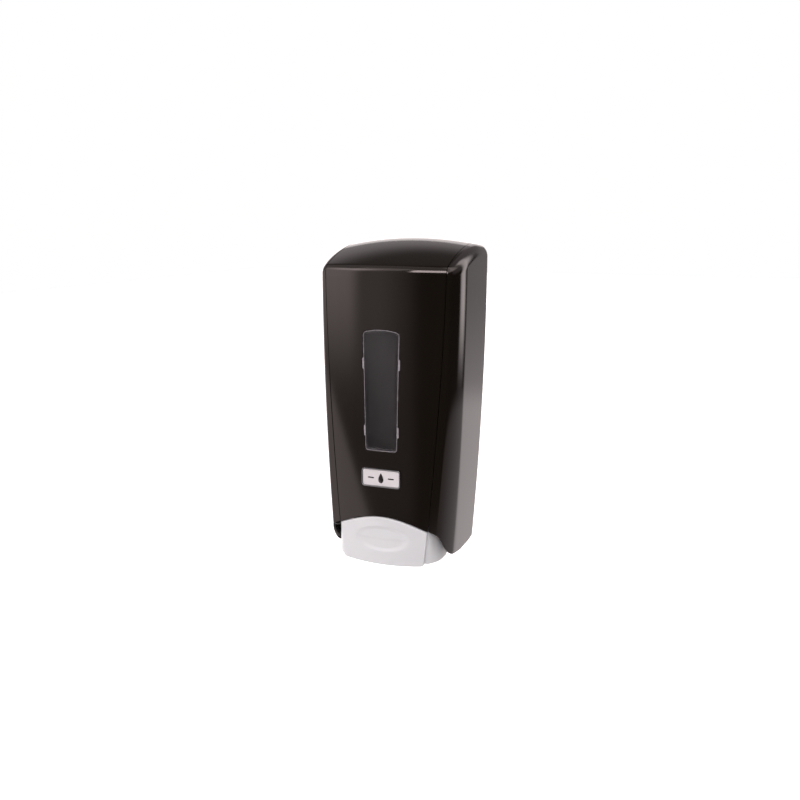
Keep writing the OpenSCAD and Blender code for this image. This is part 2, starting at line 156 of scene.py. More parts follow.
@dataclass(frozen=True)
class Finish:
    """A finish of a real material, drawn with nodes on object coordinates.

    Attributes:
        name: Material and process.
        tone: Main colour, sRGB hex.
        tone_2: Second colour that the first drifts to.
        rough: Lowest and highest roughness.
        drift_mm: Size of the slow drift in colour and gloss.
        grain_mm: Size of the fine surface texture.
        relief_mm: Height of the fine surface texture.
        metal: Metallic share.
        ior: Index of refraction of the solid.
        stretch: How much finer the grain is along x, y and z.
        coat: Weight of a clear outer layer.
        clear: Share of light that passes through.
        soft_depth_mm: Depth that light spreads under the surface.
        glint: Tint of the shine, sRGB hex.
    """

    name: str
    tone: str
    tone_2: str
    rough: Pair
    drift_mm: float = 30.0
    grain_mm: float = 0.6
    relief_mm: float = 0.01
    metal: float = 0.0
    ior: float = 1.5
    stretch: tuple[float, float, float] = (1.0, 1.0, 1.0)
    coat: float = 0.0
    clear: float = 0.0
    soft_depth_mm: float = 0.0
    glint: str = "#ffffff"

    def make(self) -> bpy.types.Material:
        """Builds the material, or returns it if it is there already."""
        known = bpy.data.materials.get(self.name)
        if known:
            return known
        mat = bpy.data.materials.new(self.name)
        mat.use_nodes = True
        tree = mat.node_tree
        tree.nodes.clear()
        where = add(tree, "ShaderNodeTexCoord").outputs["Object"]
        slow = add(tree, "ShaderNodeTexNoise", Vector=where, Scale=1000 / self.drift_mm, Detail=3.0)
        aim = add(tree, "ShaderNodeMapping", Vector=where, Scale=self.stretch)
        fine = add(
            tree,
            "ShaderNodeTexNoise",
            Vector=aim.outputs[0],
            Scale=1000 / self.grain_mm,
            Detail=4.0,
            Roughness=0.55,
        )
        tint = add(
            tree,
            "ShaderNodeMix",
            {"data_type": "RGBA"},
            i0=slow.outputs[0],
            i6=linear(self.tone),
            i7=linear(self.tone_2),
        )
        wear = add(tree, "ShaderNodeMath", {"operation": "ADD"}, i0=slow.outputs[0], i1=fine.outputs[0])
        gloss = add(
            tree,
            "ShaderNodeMapRange",
            i0=wear.outputs[0],
            i1=0.6,
            i2=1.4,
            i3=self.rough[0],
            i4=self.rough[1],
        )
        bump = add(
            tree, "ShaderNodeBump", Height=fine.outputs[0], Distance=self.relief_mm * MM, Strength=0.5
        )
        shader = add(
            tree,
            "ShaderNodeBsdfPrincipled",
            Base_Color=tint.outputs[2],
            Roughness=gloss.outputs[0],
            Normal=bump.outputs[0],
            Metallic=self.metal,
        )
        if self.metal < 0.5:
            shader.inputs["IOR"].default_value = self.ior
            shader.inputs["Specular Tint"].default_value = linear(self.glint)
        shader.inputs["Coat Weight"].default_value = self.coat
        shader.inputs["Coat Roughness"].default_value = 0.04
        shader.inputs["Transmission Weight"].default_value = self.clear
        if self.soft_depth_mm:
            shader.inputs["Subsurface Weight"].default_value = 0.35
            shader.inputs["Subsurface Radius"].default_value = (1.0, 0.9, 0.85)
            shader.inputs["Subsurface Scale"].default_value = self.soft_depth_mm * MM
        add(tree, "ShaderNodeOutputMaterial", Surface=shader.outputs[0])
        return mat


# Injection moulded ABS from a polished tool: near black, a wet shine and a very faint orange peel.
SHELL_ABS = Finish(
    "ABS_black_polished_mould", "#120f0b", "#17130f", (0.07, 0.11), 60, 7.0, 0.006, ior=1.53, glint="#fff3f1"
)
# The same resin from a spark eroded tool: dull, with an even fine grain.
PLATE_ABS = Finish("ABS_black_textured_mould", "#1f1d1e", "#292628", (0.5, 0.66), 25, 0.7, 0.05, ior=1.53)
# Off white ABS from a satin tool: soft highlights and a slightly cool, milky body.
PAD_ABS = Finish(
    "ABS_white_satin_mould", "#d2d5d8", "#d9dddf", (0.3, 0.4), 35, 0.9, 0.012, ior=1.53, soft_depth_mm=1.2
)
# Smoked clear styrene: glassy, slightly uneven from the mould, dark in depth.
LENS_SMOKE = Finish(
    "styrene_smoked_clear_mould", "#8f8d92", "#98969a", (0.02, 0.05), 40, 5.0, 0.004, ior=1.58, clear=1.0
)
# The land round the lens, left matt by the mould: pale and cloudy, and its pale tone is also a painted
# highlight standing in for the light that gathers in the edge.
LENS_LAND_PAINTED_HIGHLIGHT = Finish(
    "styrene_clear_matt_land_painted_highlight", "#c2bdc3", "#a5a0a7", (0.2, 0.32), 15, 1.5, 0.01, ior=1.58, clear=0.35
)
# Vacuum metallised ABS trim: satin silver, drawn slightly across.
TRIM_SILVER = Finish(
    "ABS_vacuum_metallised_satin", "#9a9a9b", "#86878a", (0.24, 0.36), 20, 0.5, 0.006, metal=1.0,
    stretch=(0.15, 1.0, 1.0),
)
# Gloss pale field under the emblem, screen printed and lacquered.
FIELD_PRINT = Finish(
    "screen_print_pale_lacquered", "#dddbdd", "#d2d0d3", (0.12, 0.2), 15, 0.8, 0.004, coat=0.6
)
# Emblem: black doming resin over print, smooth and slightly swollen.
EMBLEM_PRINT = Finish("epoxy_domed_print_black", "#161415", "#1f1c1d", (0.06, 0.14), 12, 1.2, 0.003, coat=0.5)
# Ground stainless rod: fine rings round the axis.
PIN_STEEL = Finish(
    "stainless_steel_centreless_ground", "#b7b9bc", "#a5a7aa", (0.16, 0.28), 8, 0.4, 0.004, metal=1.0,
    stretch=(6.0, 1.0, 1.0),
)
# Hard drawn spring wire, oiled: bright with darker drawing marks.
SPRING_STEEL = Finish("spring_steel_hard_drawn", "#9a9ca0", "#7f8185", (0.2, 0.36), 5, 0.3, 0.006, metal=1.0)
# Die cast zinc with nickel plate: warm bright metal, slightly rolling.
LOCK_ZINC = Finish("zinc_die_cast_nickel_plated", "#b9b6b0", "#a7a49f", (0.18, 0.3), 6, 1.4, 0.02, metal=1.0)
# Zinc plated steel with a clear blue passivation.
SCREW_ZINC = Finish(
    "steel_zinc_plated_passivated", "#b3b9c2", "#a4a9ad", (0.22, 0.36), 4, 0.5, 0.008, metal=1.0
)
# Polypropylene, black, lightly textured and waxy.
CRADLE_PP = Finish("polypropylene_black_mould", "#232224", "#2d2b2d", (0.36, 0.48), 22, 0.8, 0.03, ior=1.49)
# Blow moulded natural HDPE: milky, waxy, with slow thickness clouds.
BOTTLE_HDPE = Finish(
    "HDPE_natural_blow_moulded", "#dedfd8", "#ecebe3", (0.32, 0.44), 28, 1.6, 0.03, ior=1.54,
    soft_depth_mm=3.0,
)
# Cut EPDM sheet: dull charcoal rubber with talc bloom.
GASKET_EPDM = Finish("EPDM_rubber_die_cut", "#3b3b3a", "#4a4a48", (0.7, 0.85), 6, 0.4, 0.03, ior=1.5)
# Natural polypropylene pump parts: translucent white.
PUMP_PP = Finish(
    "polypropylene_natural_mould", "#e9e9e6", "#dfe0dd", (0.24, 0.34), 10, 0.9, 0.01, ior=1.49,
    soft_depth_mm=2.0,
)
# Lapped stainless valve ball.
BALL_STEEL = Finish("stainless_steel_lapped", "#c9cbce", "#bcbec1", (0.05, 0.1), 4, 0.8, 0.001, metal=1.0)
# Liquid silicone rubber duckbill: soft, cloudy and slightly tacky.
VALVE_SILICONE = Finish(
    "silicone_rubber_moulded", "#dcd9d2", "#cfccc6", (0.42, 0.55), 5, 0.6, 0.01, ior=1.41, soft_depth_mm=1.5
)
# Closed cell polyethylene foam tape: open cut cells on the faces.
FOAM_TAPE = Finish("PE_foam_tape_closed_cell", "#d3d0c6", "#bdbab0", (0.8, 0.92), 9, 0.9, 0.25, ior=1.5)


# ---------------------------------------------------------------- mesh helpers


def join_arrays(parts: Iterable[tuple[Array, list[tuple[int, ...]]]]) -> tuple[Array, list[tuple[int, ...]]]:
    """Puts several vertex and face lists into one.

    Args:
        parts: Pairs of vertices and faces.

    Returns:
        One pair of vertices and faces.
    """
    verts, faces, start = [], [], 0
    for v, f in parts:
        verts.append(np.asarray(v, float).reshape(-1, 3))
        faces += [tuple(i + start for i in face) for face in f]
        start += len(verts[-1])
    return np.concatenate(verts), faces


def grid_faces(rows: int, cols: int, keep: Callable[[int, int], bool] | None = None) -> list[tuple[int, ...]]:
    """Lists the quads of a rows by cols grid of vertices.

    Args:
        rows: Count of vertices down.
        cols: Count of vertices across.
        keep: Test of a cell's row and column; cells that fail are left out.

    Returns:
        Quads as vertex numbers.
    """
    return [
        (i * cols + j, i * cols + j + 1, (i + 1) * cols + j + 1, (i + 1) * cols + j)
        for i in range(rows - 1)
        for j in range(cols - 1)
        if keep is None or keep(i, j)
    ]


def band(loops: Sequence[Array], closed: bool = True) -> tuple[Array, list[tuple[int, ...]]]:
    """Joins loops of equal length by quads.

    Args:
        loops: Vertex loops, each (n, 3).
        closed: Whether each loop runs round to its start.

    Returns:
        Vertices and faces.
    """
    n = len(loops[0])
    last = n if closed else n - 1
    faces = [
        (r * n + k, r * n + (k + 1) % n, (r + 1) * n + (k + 1) % n, (r + 1) * n + k)
        for r in range(len(loops) - 1)
        for k in range(last)
    ]
    return np.concatenate(loops), faces


def build(
    name: str,
    verts: Array,
    faces: Sequence[tuple[int, ...]],
    finishes: Sequence[Finish],
    sharp_deg: float = 32.0,
    face_finish: Sequence[int] | None = None,
) -> bpy.types.Object:
    """Makes a closed mesh object from millimetre vertices.

    Args:
        name: Name of the object.
        verts: Vertices in millimetres.
        faces: Faces as vertex numbers.
        finishes: Its finishes, first one first.
        sharp_deg: Edges over this angle stay crisp.
        face_finish: Number of the finish of each face.

    Returns:
        The object, linked to the scene, at the origin.
    """
    mesh = bpy.data.meshes.new(name)
    mesh.from_pydata([tuple(v) for v in np.asarray(verts) * MM], [], [tuple(f) for f in faces])
    if face_finish is not None:
        mesh.polygons.foreach_set("material_index", list(face_finish))
    bm = bmesh.new()
    bm.from_mesh(mesh)
    bmesh.ops.remove_doubles(bm, verts=bm.verts, dist=2e-6)
    bmesh.ops.dissolve_degenerate(bm, dist=1e-7, edges=bm.edges)
    bmesh.ops.recalc_face_normals(bm, faces=bm.faces)
    finish_edges(bm, sharp_deg)
    bm.to_mesh(mesh)
    bm.free()
    for finish in finishes:
        mesh.materials.append(finish.make())
    obj = bpy.data.objects.new(name, mesh)
    bpy.context.scene.collection.objects.link(obj)
    return obj


def finish_edges(bm: bmesh.types.BMesh, sharp_deg: float) -> None:
    """Shades every face smooth and marks the edges over an angle as sharp."""
    limit = math.radians(sharp_deg)
    for f in bm.faces:
        f.smooth = True
    for e in bm.edges:
        e.smooth = not (len(e.link_faces) == 2 and e.calc_face_angle(0.0) > limit)


def settle(obj: bpy.types.Object) -> bpy.types.Object:
    """Turns the evaluated object into its plain mesh and takes its modifiers off.

    Args:
        obj: Object with modifiers.

    Returns:
        The same object.
    """
    graph = bpy.context.evaluated_depsgraph_get()
    mesh = bpy.data.meshes.new_from_object(obj.evaluated_get(graph), depsgraph=graph)
    obj.modifiers.clear()
    old, obj.data = obj.data, mesh
    mesh.name = obj.name
    if not old.users:
        bpy.data.meshes.remove(old)
    return obj


def round_edges(
    obj: bpy.types.Object, width: float, steps: int = 3, over_deg: float = 38.0
) -> bpy.types.Object:
    """Rounds the sharp edges of an object.

    Args:
        obj: Object with a clean mesh.
        width: Width of the rounding in millimetres.
        steps: Count of segments.
        over_deg: Only edges over this angle are rounded.

    Returns:
        The same object.
    """
    bevel = obj.modifiers.new("rounding", "BEVEL")
    bevel.width = width * MM
    bevel.segments = steps
    bevel.limit_method = "ANGLE"
    bevel.angle_limit = math.radians(over_deg)
    bevel.use_clamp_overlap = True
    bevel.miter_outer = "MITER_ARC"
    weigh = obj.modifiers.new("shading", "WEIGHTED_NORMAL")
    weigh.keep_sharp = True
    weigh.weight = 80
    settle(obj)
    bm = bmesh.new()
    bm.from_mesh(obj.data)
    limit = math.radians(50)
    for e in bm.edges:
        e.smooth = not (len(e.link_faces) == 2 and e.calc_face_angle(0.0) > limit)
    bm.to_mesh(obj.data)
    bm.free()
    return obj


def carve(obj: bpy.types.Object, steps: Sequence[tuple[str, bpy.types.Object]]) -> bpy.types.Object:
    """Adds solids to an object and cuts solids from it.

    Args:
        obj: First solid.
        steps: Pairs of "UNION" or "DIFFERENCE" and a solid, which is used up.

    Returns:
        The same object with one settled mesh.
    """
    for kind, other in steps:
        mod = obj.modifiers.new("carve", "BOOLEAN")
        mod.operation, mod.object, mod.solver = kind, other, "EXACT"
        settle(obj)
        data = other.data
        bpy.data.objects.remove(other)
        bpy.data.meshes.remove(data)
    bm = bmesh.new()
    bm.from_mesh(obj.data)
    bmesh.ops.remove_doubles(bm, verts=bm.verts, dist=2e-6)
    bmesh.ops.dissolve_limit(bm, angle_limit=math.radians(0.6), verts=bm.verts, edges=bm.edges)
    finish_edges(bm, 32)
    bm.to_mesh(obj.data)
    bm.free()
    return obj


def merge(name: str, objs: Sequence[bpy.types.Object]) -> bpy.types.Object:
    """Joins objects into one piece.

    Args:
        name: Name of the piece.
        objs: Objects with settled meshes; the first one keeps its finishes in front.

    Returns:
        The joined object.
    """
    first = objs[0]
    with bpy.context.temp_override(active_object=first, selected_editable_objects=list(objs)):
        bpy.ops.object.join()
    first.name = name
    first.data.name = name
    return first


def prism(
    name: str, axis: Axis, outline: Sequence[Pair], lo: float, hi: float, finish: Finish
) -> bpy.types.Object:
    """Makes a straight solid with a flat outline.

    Args:
        name: Name of the object.
        axis: Direction that it is drawn along.
        outline: Points of the outline in the two other axes, in x, y, z order.
        lo: Start along the axis.
        hi: End along the axis.
        finish: Its finish.

    Returns:
        The solid.
    """
    flat = np.asarray(outline, float)
    ends = [np.insert(flat, axis.value, level, axis=1) for level in (lo, hi)]
    verts, faces = band(ends)
    n = len(flat)
    faces += [tuple(range(n)), tuple(range(2 * n - 1, n - 1, -1))]
    return build(name, verts, faces, [finish])


def rod(
    axis: Axis, centre: Pair, radius: float, lo: float, hi: float, finish: Finish, sides: int = 64
) -> bpy.types.Object:
    """Makes a round solid along an axis; its sizes are in millimetres."""
    turn = np.linspace(0, 2 * np.pi, sides, endpoint=False)
    ring = np.stack([centre[0] + radius * np.cos(turn), centre[1] + radius * np.sin(turn)], 1)
    return prism("rod", axis, ring, lo, hi, finish)


def block(lo: Sequence[float], hi: Sequence[float], finish: Finish) -> bpy.types.Object:
    """Makes a box between two corners, in millimetres."""
    flat = [(lo[0], lo[1]), (hi[0], lo[1]), (hi[0], hi[1]), (lo[0], hi[1])]
    return prism("block", Axis.Z, flat, lo[2], hi[2], finish)


def lathe(
    name: str, profile: Sequence[Pair], centre: Pair, finish: Finish, sides: int = 96
) -> bpy.types.Object:
    """Turns a profile round an upright axis.

    Args:
        name: Name of the object.
        profile: Closed outline of radius and height.
        centre: x and y of the axis.
        finish: Its finish.
        sides: Count of steps round.

    Returns:
        The solid.
    """
    turn = np.linspace(0, 2 * np.pi, sides, endpoint=False)
    loops = [
        np.stack([centre[0] + r * np.cos(turn), centre[1] + r * np.sin(turn), np.full(sides, z)], 1)
        for r, z in [*profile, profile[0]]
    ]
    verts, faces = band(loops)
    return build(name, verts, faces, [finish])


def place(obj: bpy.types.Object, body: Body, slot: str, *nodes: str) -> bpy.types.Object:
    """Puts a finished piece on its body and hides the frame nodes that it stands for.

    Args:
        obj: Settled piece at the origin.
        body: Body that it moves with.
        slot: Material slot of the record; not used.
        *nodes: Frame nodes that it stands for.

    Returns:
        The same piece.
    """
    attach(obj, body.value)
    if nodes:
        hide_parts(*nodes)
    LOG.info("piece %s: %d faces on %s", obj.name, len(obj.data.polygons), body.value)
    return obj


# ---------------------------------------------------------------- the rule of the body's shape


@dataclass(frozen=True)
class Form:
    """Sizes of the body and the rules that its skin follows, in millimetres."""

    width: float = 132.0
    depth: float = 104.0
    height: float = 290.6
    taper: float = 10.1
    wall: float = 2.6
    gap: float = 0.3
    front_r: float = 175.0
    corner_x: float = 7.7
    corner_y: float = 28.6
    top_r: float = 5.4
    y_rear: float = -20.0
    plate: float = 3.0
    pump_y: float = -66.0
    lock_y: float = -12.0

    @property
    def top(self) -> float:
        """Height of the crest of the roof."""
        return self.height / 2

    @property
    def foot(self) -> float:
        """Height of the foot of the cheeks."""
        return 6.6 - self.height / 2

    @property
    def edge(self) -> float:
        """Height where the taper starts."""
        return self.top - 22

    @property
    def seam_top(self) -> float:
        """Half width of the cover at its top."""
        return self.width / 2 - 10

    @property
    def y_back(self) -> float:
        """Back face of the rear housing."""
        return -self.plate - 0.2

    @property
    def hinge(self) -> Pair:
        """y and z of the cover's hinge axis."""
        return -46.0, self.foot + 2

    @property
    def pivot(self) -> Pair:
        """y and z of the push lever's pivot axis."""
        return -92.0, self.foot + 44

    @property
    def arm_x(self) -> float:
        """Outer face of the cover's hinge arms."""
        return float(self.seam_x(np.array(self.foot + 28))) - 1.5

    @property
    def bottle_x(self) -> float:
        """Half width of the refill bottle."""
        return float(self.seam_x(np.array(self.foot + 62))) + 1.5

    def fall(self, z: Array) -> Array:
        """Share of the way from the edge height down to the foot."""
        return np.maximum(0.0, (self.edge - z) / (self.edge - self.foot))

    def half_w(self, z: Array) -> Array:
        """Half width of the body at a height."""
        return self.width / 2 - self.taper * self.fall(z) ** 1.98

    def side_in(self, z: Array) -> Array:
        """How far the rounded corner reaches along the side."""
        return self.corner_y + 14 * self.fall(z) ** 2

    def seam_x(self, z: Array) -> Array:
        """Distance of the seam from the middle at a height."""
        return self.seam_top - 15.8 * self.fall(z) ** 1.51

    def front_y(self, x: Array, z: Array) -> Array:
        """Depth of the front skin."""
        lean = 1.2 * ((z - self.foot - 100) / 160) ** 2
        return -self.depth + lean + self.front_r - np.sqrt(self.front_r**2 - x * x)

    def roof(self, x: Array, y: Array) -> Array:
        """Height of the roof skin."""
        drop = np.maximum(0.0, (self.y_rear - y) / (self.depth - 31.5)) ** 1.8
        back = np.maximum(0.0, (y - self.y_rear) / 20) ** 2
        return self.top - 5 * (x / self.seam_top) ** 2 - 18.8 * drop - 0.8 * back

    def arch(self, y: Array) -> Array:
        """Height of the lower edge, which arches up towards the front."""
        d = np.maximum(0.0, 44 - self.depth - y)
        rise = 0.0212 * d * d + 2.3 * np.maximum(0.0, (d - 38.6) / 5.4) ** 2
        belly = 1.4 * smooth((y + 16) / 14) - 2.9 * smooth((y + self.depth - 38) / 26)
        return self.foot - 3.5 + rise + belly


def mix(a: Array, b: Array, t: Array) -> Array:
    """Blends a into b."""
    return a * (1 - t) + b * t


def smooth(t: Array) -> Array:
    """Eases from 0 to 1."""
    s = np.clip(t, 0.0, 1.0)
    return s * s * (3 - 2 * s)


def resample(path: Array, weight: Array, count: int) -> Array:
    """Puts points along a path, closer together where it weighs more.

    Args:
        path: Points of the path (n, 2).
        weight: Weight of each stretch between two points.
        count: Count of stretches wanted.

    Returns:
        count + 1 points.
    """
    steps = np.linalg.norm(np.diff(path, axis=0), axis=1) * weight
    along = np.concatenate([[0.0], np.cumsum(steps)])
    at = np.linspace(0, along[-1], count + 1)
    return np.stack([np.interp(at, along, path[:, k]) for k in (0, 1)], 1)


def loop_normals(loop: Array) -> Array:
    """Outward unit normals of a closed clockwise loop in the x and z plane."""
    run = np.roll(loop, -1, axis=0) - np.roll(loop, 1, axis=0)
    run /= np.maximum(np.linalg.norm(run, axis=1, keepdims=True), 1e-9)
    return np.stack([-run[:, 1], run[:, 0]], 1)


def insets(loop: Array) -> Callable[[float], Array]:
    """Gives the loops that run inside a closed loop."""
    out = loop_normals(loop)
    return lambda inset: loop - out * inset


def mirror_half(half: Array) -> Array:
    """Closes a right half, which runs from the top middle down to the bottom middle, by its mirror image."""
    return np.concatenate([half[:-1], (half[::-1] * [-1, 1])[:-1]])


@dataclass
class Outline:
    """Right half of a symmetric outline in three stretches: top, side and bottom."""

    top: Array
    side: Array
    bottom: Array
    heavy: Callable[[Array], Array] = field(default=lambda mid: np.ones(len(mid)))

    def half(self, n_top: int, n_side: int, n_bottom: int) -> Array:
        """Samples the right half with a count of stretches on each part."""
        out = []
        for path, n in ((self.top, n_top), (self.side, n_side), (self.bottom, n_bottom)):
            mid = (path[1:] + path[:-1]) / 2
            out.append(resample(path, self.heavy(mid), n)[:-1])
        return np.concatenate([*out, self.bottom[-1:]])


def bezier(p: Sequence[Pair], steps: int) -> Array:
    """Samples a cubic curve through four control points."""
    t = np.linspace(0, 1, steps)[:, None]
    a, b, c, d = (np.asarray(q, float) for q in p)
    return a * (1 - t) ** 3 + b * 3 * t * (1 - t) ** 2 + c * 3 * t * t * (1 - t) + d * t**3


def fill_chords(
    loop: Array, cols: int, skin: Callable[[Array, Array], Array]
) -> tuple[Array, list[tuple[int, ...]]]:
    """Fills a symmetric loop with rows that run across it.

    Args:
        loop: Closed symmetric loop (n, 2) in x and z, from the top middle.
        cols: Count of cells across.
        skin: Depth of the skin at x and z.

    Returns:
        Vertices and faces.
    """
    n = len(loop) // 2
    right = loop[: n + 1]
    left = np.concatenate([loop[:1], loop[:n - 1:-1]])
    share = (np.linspace(0, 1, cols + 1))[None, :, None]
    flat = (left[:, None] * (1 - share) + right[:, None] * share).reshape(-1, 2)
    verts = np.stack([flat[:, 0], skin(flat[:, 0], flat[:, 1]), flat[:, 1]], 1)
    return verts, grid_faces(n + 1, cols + 1)


def plate_mesh(
    loop_at: Callable[[float], Array],
    rings: Sequence[tuple[float, float]],
    front: Callable[[Array, Array], Array],
    thick: float,
    cols: int,
    edge: float,
) -> list[tuple[Array, list[tuple[int, ...]]]]:
    """Makes a curved plate with rounded edges and stepped rings.

    Args:
        loop_at: Gives the outline (n, 2) at an inset, clockwise from the top middle.
        rings: Inset and depth of each ring, from the edge inwards.
        front: Depth of the front skin.
        thick: Thickness.
        cols: Count of cells across the middle.
        edge: Radius of the edge rounding.

    Returns:
        Mesh parts that close on each other: rim, middle and back.
    """
    loops = []

    def ring(inset: float, depth: float) -> Array:
        """One loop of the plate."""
        flat = loop_at(inset)
        return np.stack([flat[:, 0], front(flat[:, 0], flat[:, 1]) + depth, flat[:, 1]], 1)

    for a in np.linspace(0, np.pi / 2, 4):
        loops.append(ring(edge * (1 - math.cos(a)), thick - edge + edge * math.sin(a)))
    back_flat = loop_at(edge)
    loops = loops[::-1]
    for a in np.linspace(0, np.pi / 2, 5):
        loops.append(ring(edge * (1 - math.cos(a)), edge * (1 - math.sin(a))))
    last = loop_at(edge)
    for inset, depth in rings:
        loops.append(ring(inset, depth))
        last = loop_at(inset)
    depth_in = rings[-1][1] if rings else 0.0
    middle = fill_chords(last, cols, lambda x, z: front(x, z) + depth_in)
    back = fill_chords(back_flat, cols, lambda x, z: front(x, z) + thick)
    return [band(loops), middle, back]


# ---------------------------------------------------------------- the front cover


@dataclass
class WindowShape:
    """Outline of the viewing window, with its four snap tabs."""

    form: Form
    half_w: float = 16.9
    top: float = 68.2
    height: float = 107.6
    corner: float = 3.0
    tab_deep: float = 1.2
    tab_half: float = 4.6

    @property
    def bottom(self) -> float:
        """Height of the lower edge."""
        return self.top - self.height

    @property
    def tabs(self) -> tuple[float, float]:
        """Heights of the tabs."""
        return self.top - 30, self.bottom + 17.7

    def edge_x(self, z: float) -> float:
        """Half width of the window at a height, without tabs."""
        share = (z - self.bottom - 3) / (self.height - 7.8)
        return self.half_w - 2 + 2 * min(max(share, 0.0), 1.0)

    def outline(self, tabs: bool) -> Outline:
        """Builds the outline.

        Args:
            tabs: Whether the tabs stand out of it.

        Returns:
            The right half in three stretches.
        """
        w1, w0, z1, z0 = self.half_w, self.half_w - 2, self.top, self.bottom
        r = self.corner
        xs = np.linspace(0, w1 - r, 24)
        arch = np.stack([xs, z1 - 1.8 * (xs / (w1 - r)) ** 2], 1)
        turn = bezier([(w1 - r, z1 - 1.8), (w1 - 1.4, z1 - 2.2), (w1, z1 - 3.2), (w1, z1 - 4.8)], 24)
        a = np.linspace(0, np.pi / 2, 24)
        foot = np.stack([w0 - r + r * np.cos(a), z0 + r - r * np.sin(a)], 1)
        flank = [tuple(turn[-1])]
        for zc in self.tabs if tabs else ():
            h, q, deep = self.tab_half, 0.45, self.tab_deep
            for z, d in ((zc + h + q, 0), (zc + h, q), (zc + h, deep - q), (zc + h - q, deep)):
                flank.append((self.edge_x(z) + d, z))
            for z, d in ((zc - h + q, deep), (zc - h, deep - q), (zc - h, q), (zc - h - q, 0)):
                flank.append((self.edge_x(z) + d, z))
        flank.append((w0, z0 + r))
        dense = []
        for p, q in zip(flank[:-1], flank[1:]):
            steps = max(2, int(np.hypot(q[0] - p[0], q[1] - p[1]) / 0.2))
            dense.append(np.linspace(p, q, steps, endpoint=False))
        side = np.concatenate([turn[12:-1], *dense, foot[:13]])

        def heavy(mid: Array) -> Array:
            """Gives corners and tabs more points."""
            x, z = mid[:, 0], mid[:, 1]
            w = np.ones(len(mid))
            w[(z > z1 - 5) & (x > w1 - 3.6)] = 4.0
            w[(z < z0 + r) & (x > w0 - r)] = 4.0
            if tabs:
                for zc in self.tabs:
                    for end in (zc - self.tab_half, zc + self.tab_half):
                        w[(abs(z - end) < 0.6) & (x > w0 - 1)] = 9.0
            return w

        low = np.stack([np.linspace(w0 - r, 0, 24), np.full(24, z0)], 1)
        upper, lower = np.concatenate([arch[:-1], turn[:13]]), np.concatenate([foot[12:-1], low])
        return Outline(upper, side, lower, heavy)


@dataclass
class BadgeShape:
    """Rounded outline of the badge."""

    half_w: float = 18.4
    half_h: float = 8.3
    height: float = -64.0
    corner: float = 3.0

    def outline(self, grow: float = 0.0) -> Outline:
        """Builds the outline, grown all round by a length."""
        w, h, r, zc = self.half_w + grow, self.half_h + grow, self.corner + grow, self.height
        a = np.linspace(0, np.pi / 2, 17)
        upper = np.stack([w - r + r * np.sin(a), zc + h - r + r * np.cos(a)], 1)
        lower = np.stack([w - r + r * np.cos(a), zc - h + r - r * np.sin(a)], 1)
        top = np.concatenate([[(0.0, zc + h)], upper[:9]])
        side = np.concatenate([upper[8:], lower[:9]])
        bottom = np.concatenate([lower[8:], [(0.0, zc - h)]])

        def heavy(mid: Array) -> Array:
            """Gives the corners more points."""
            return np.where((mid[:, 0] > w - r) & (abs(mid[:, 1] - zc) > h - r), 3.0, 1.0)

        return Outline(top, side, bottom, heavy)


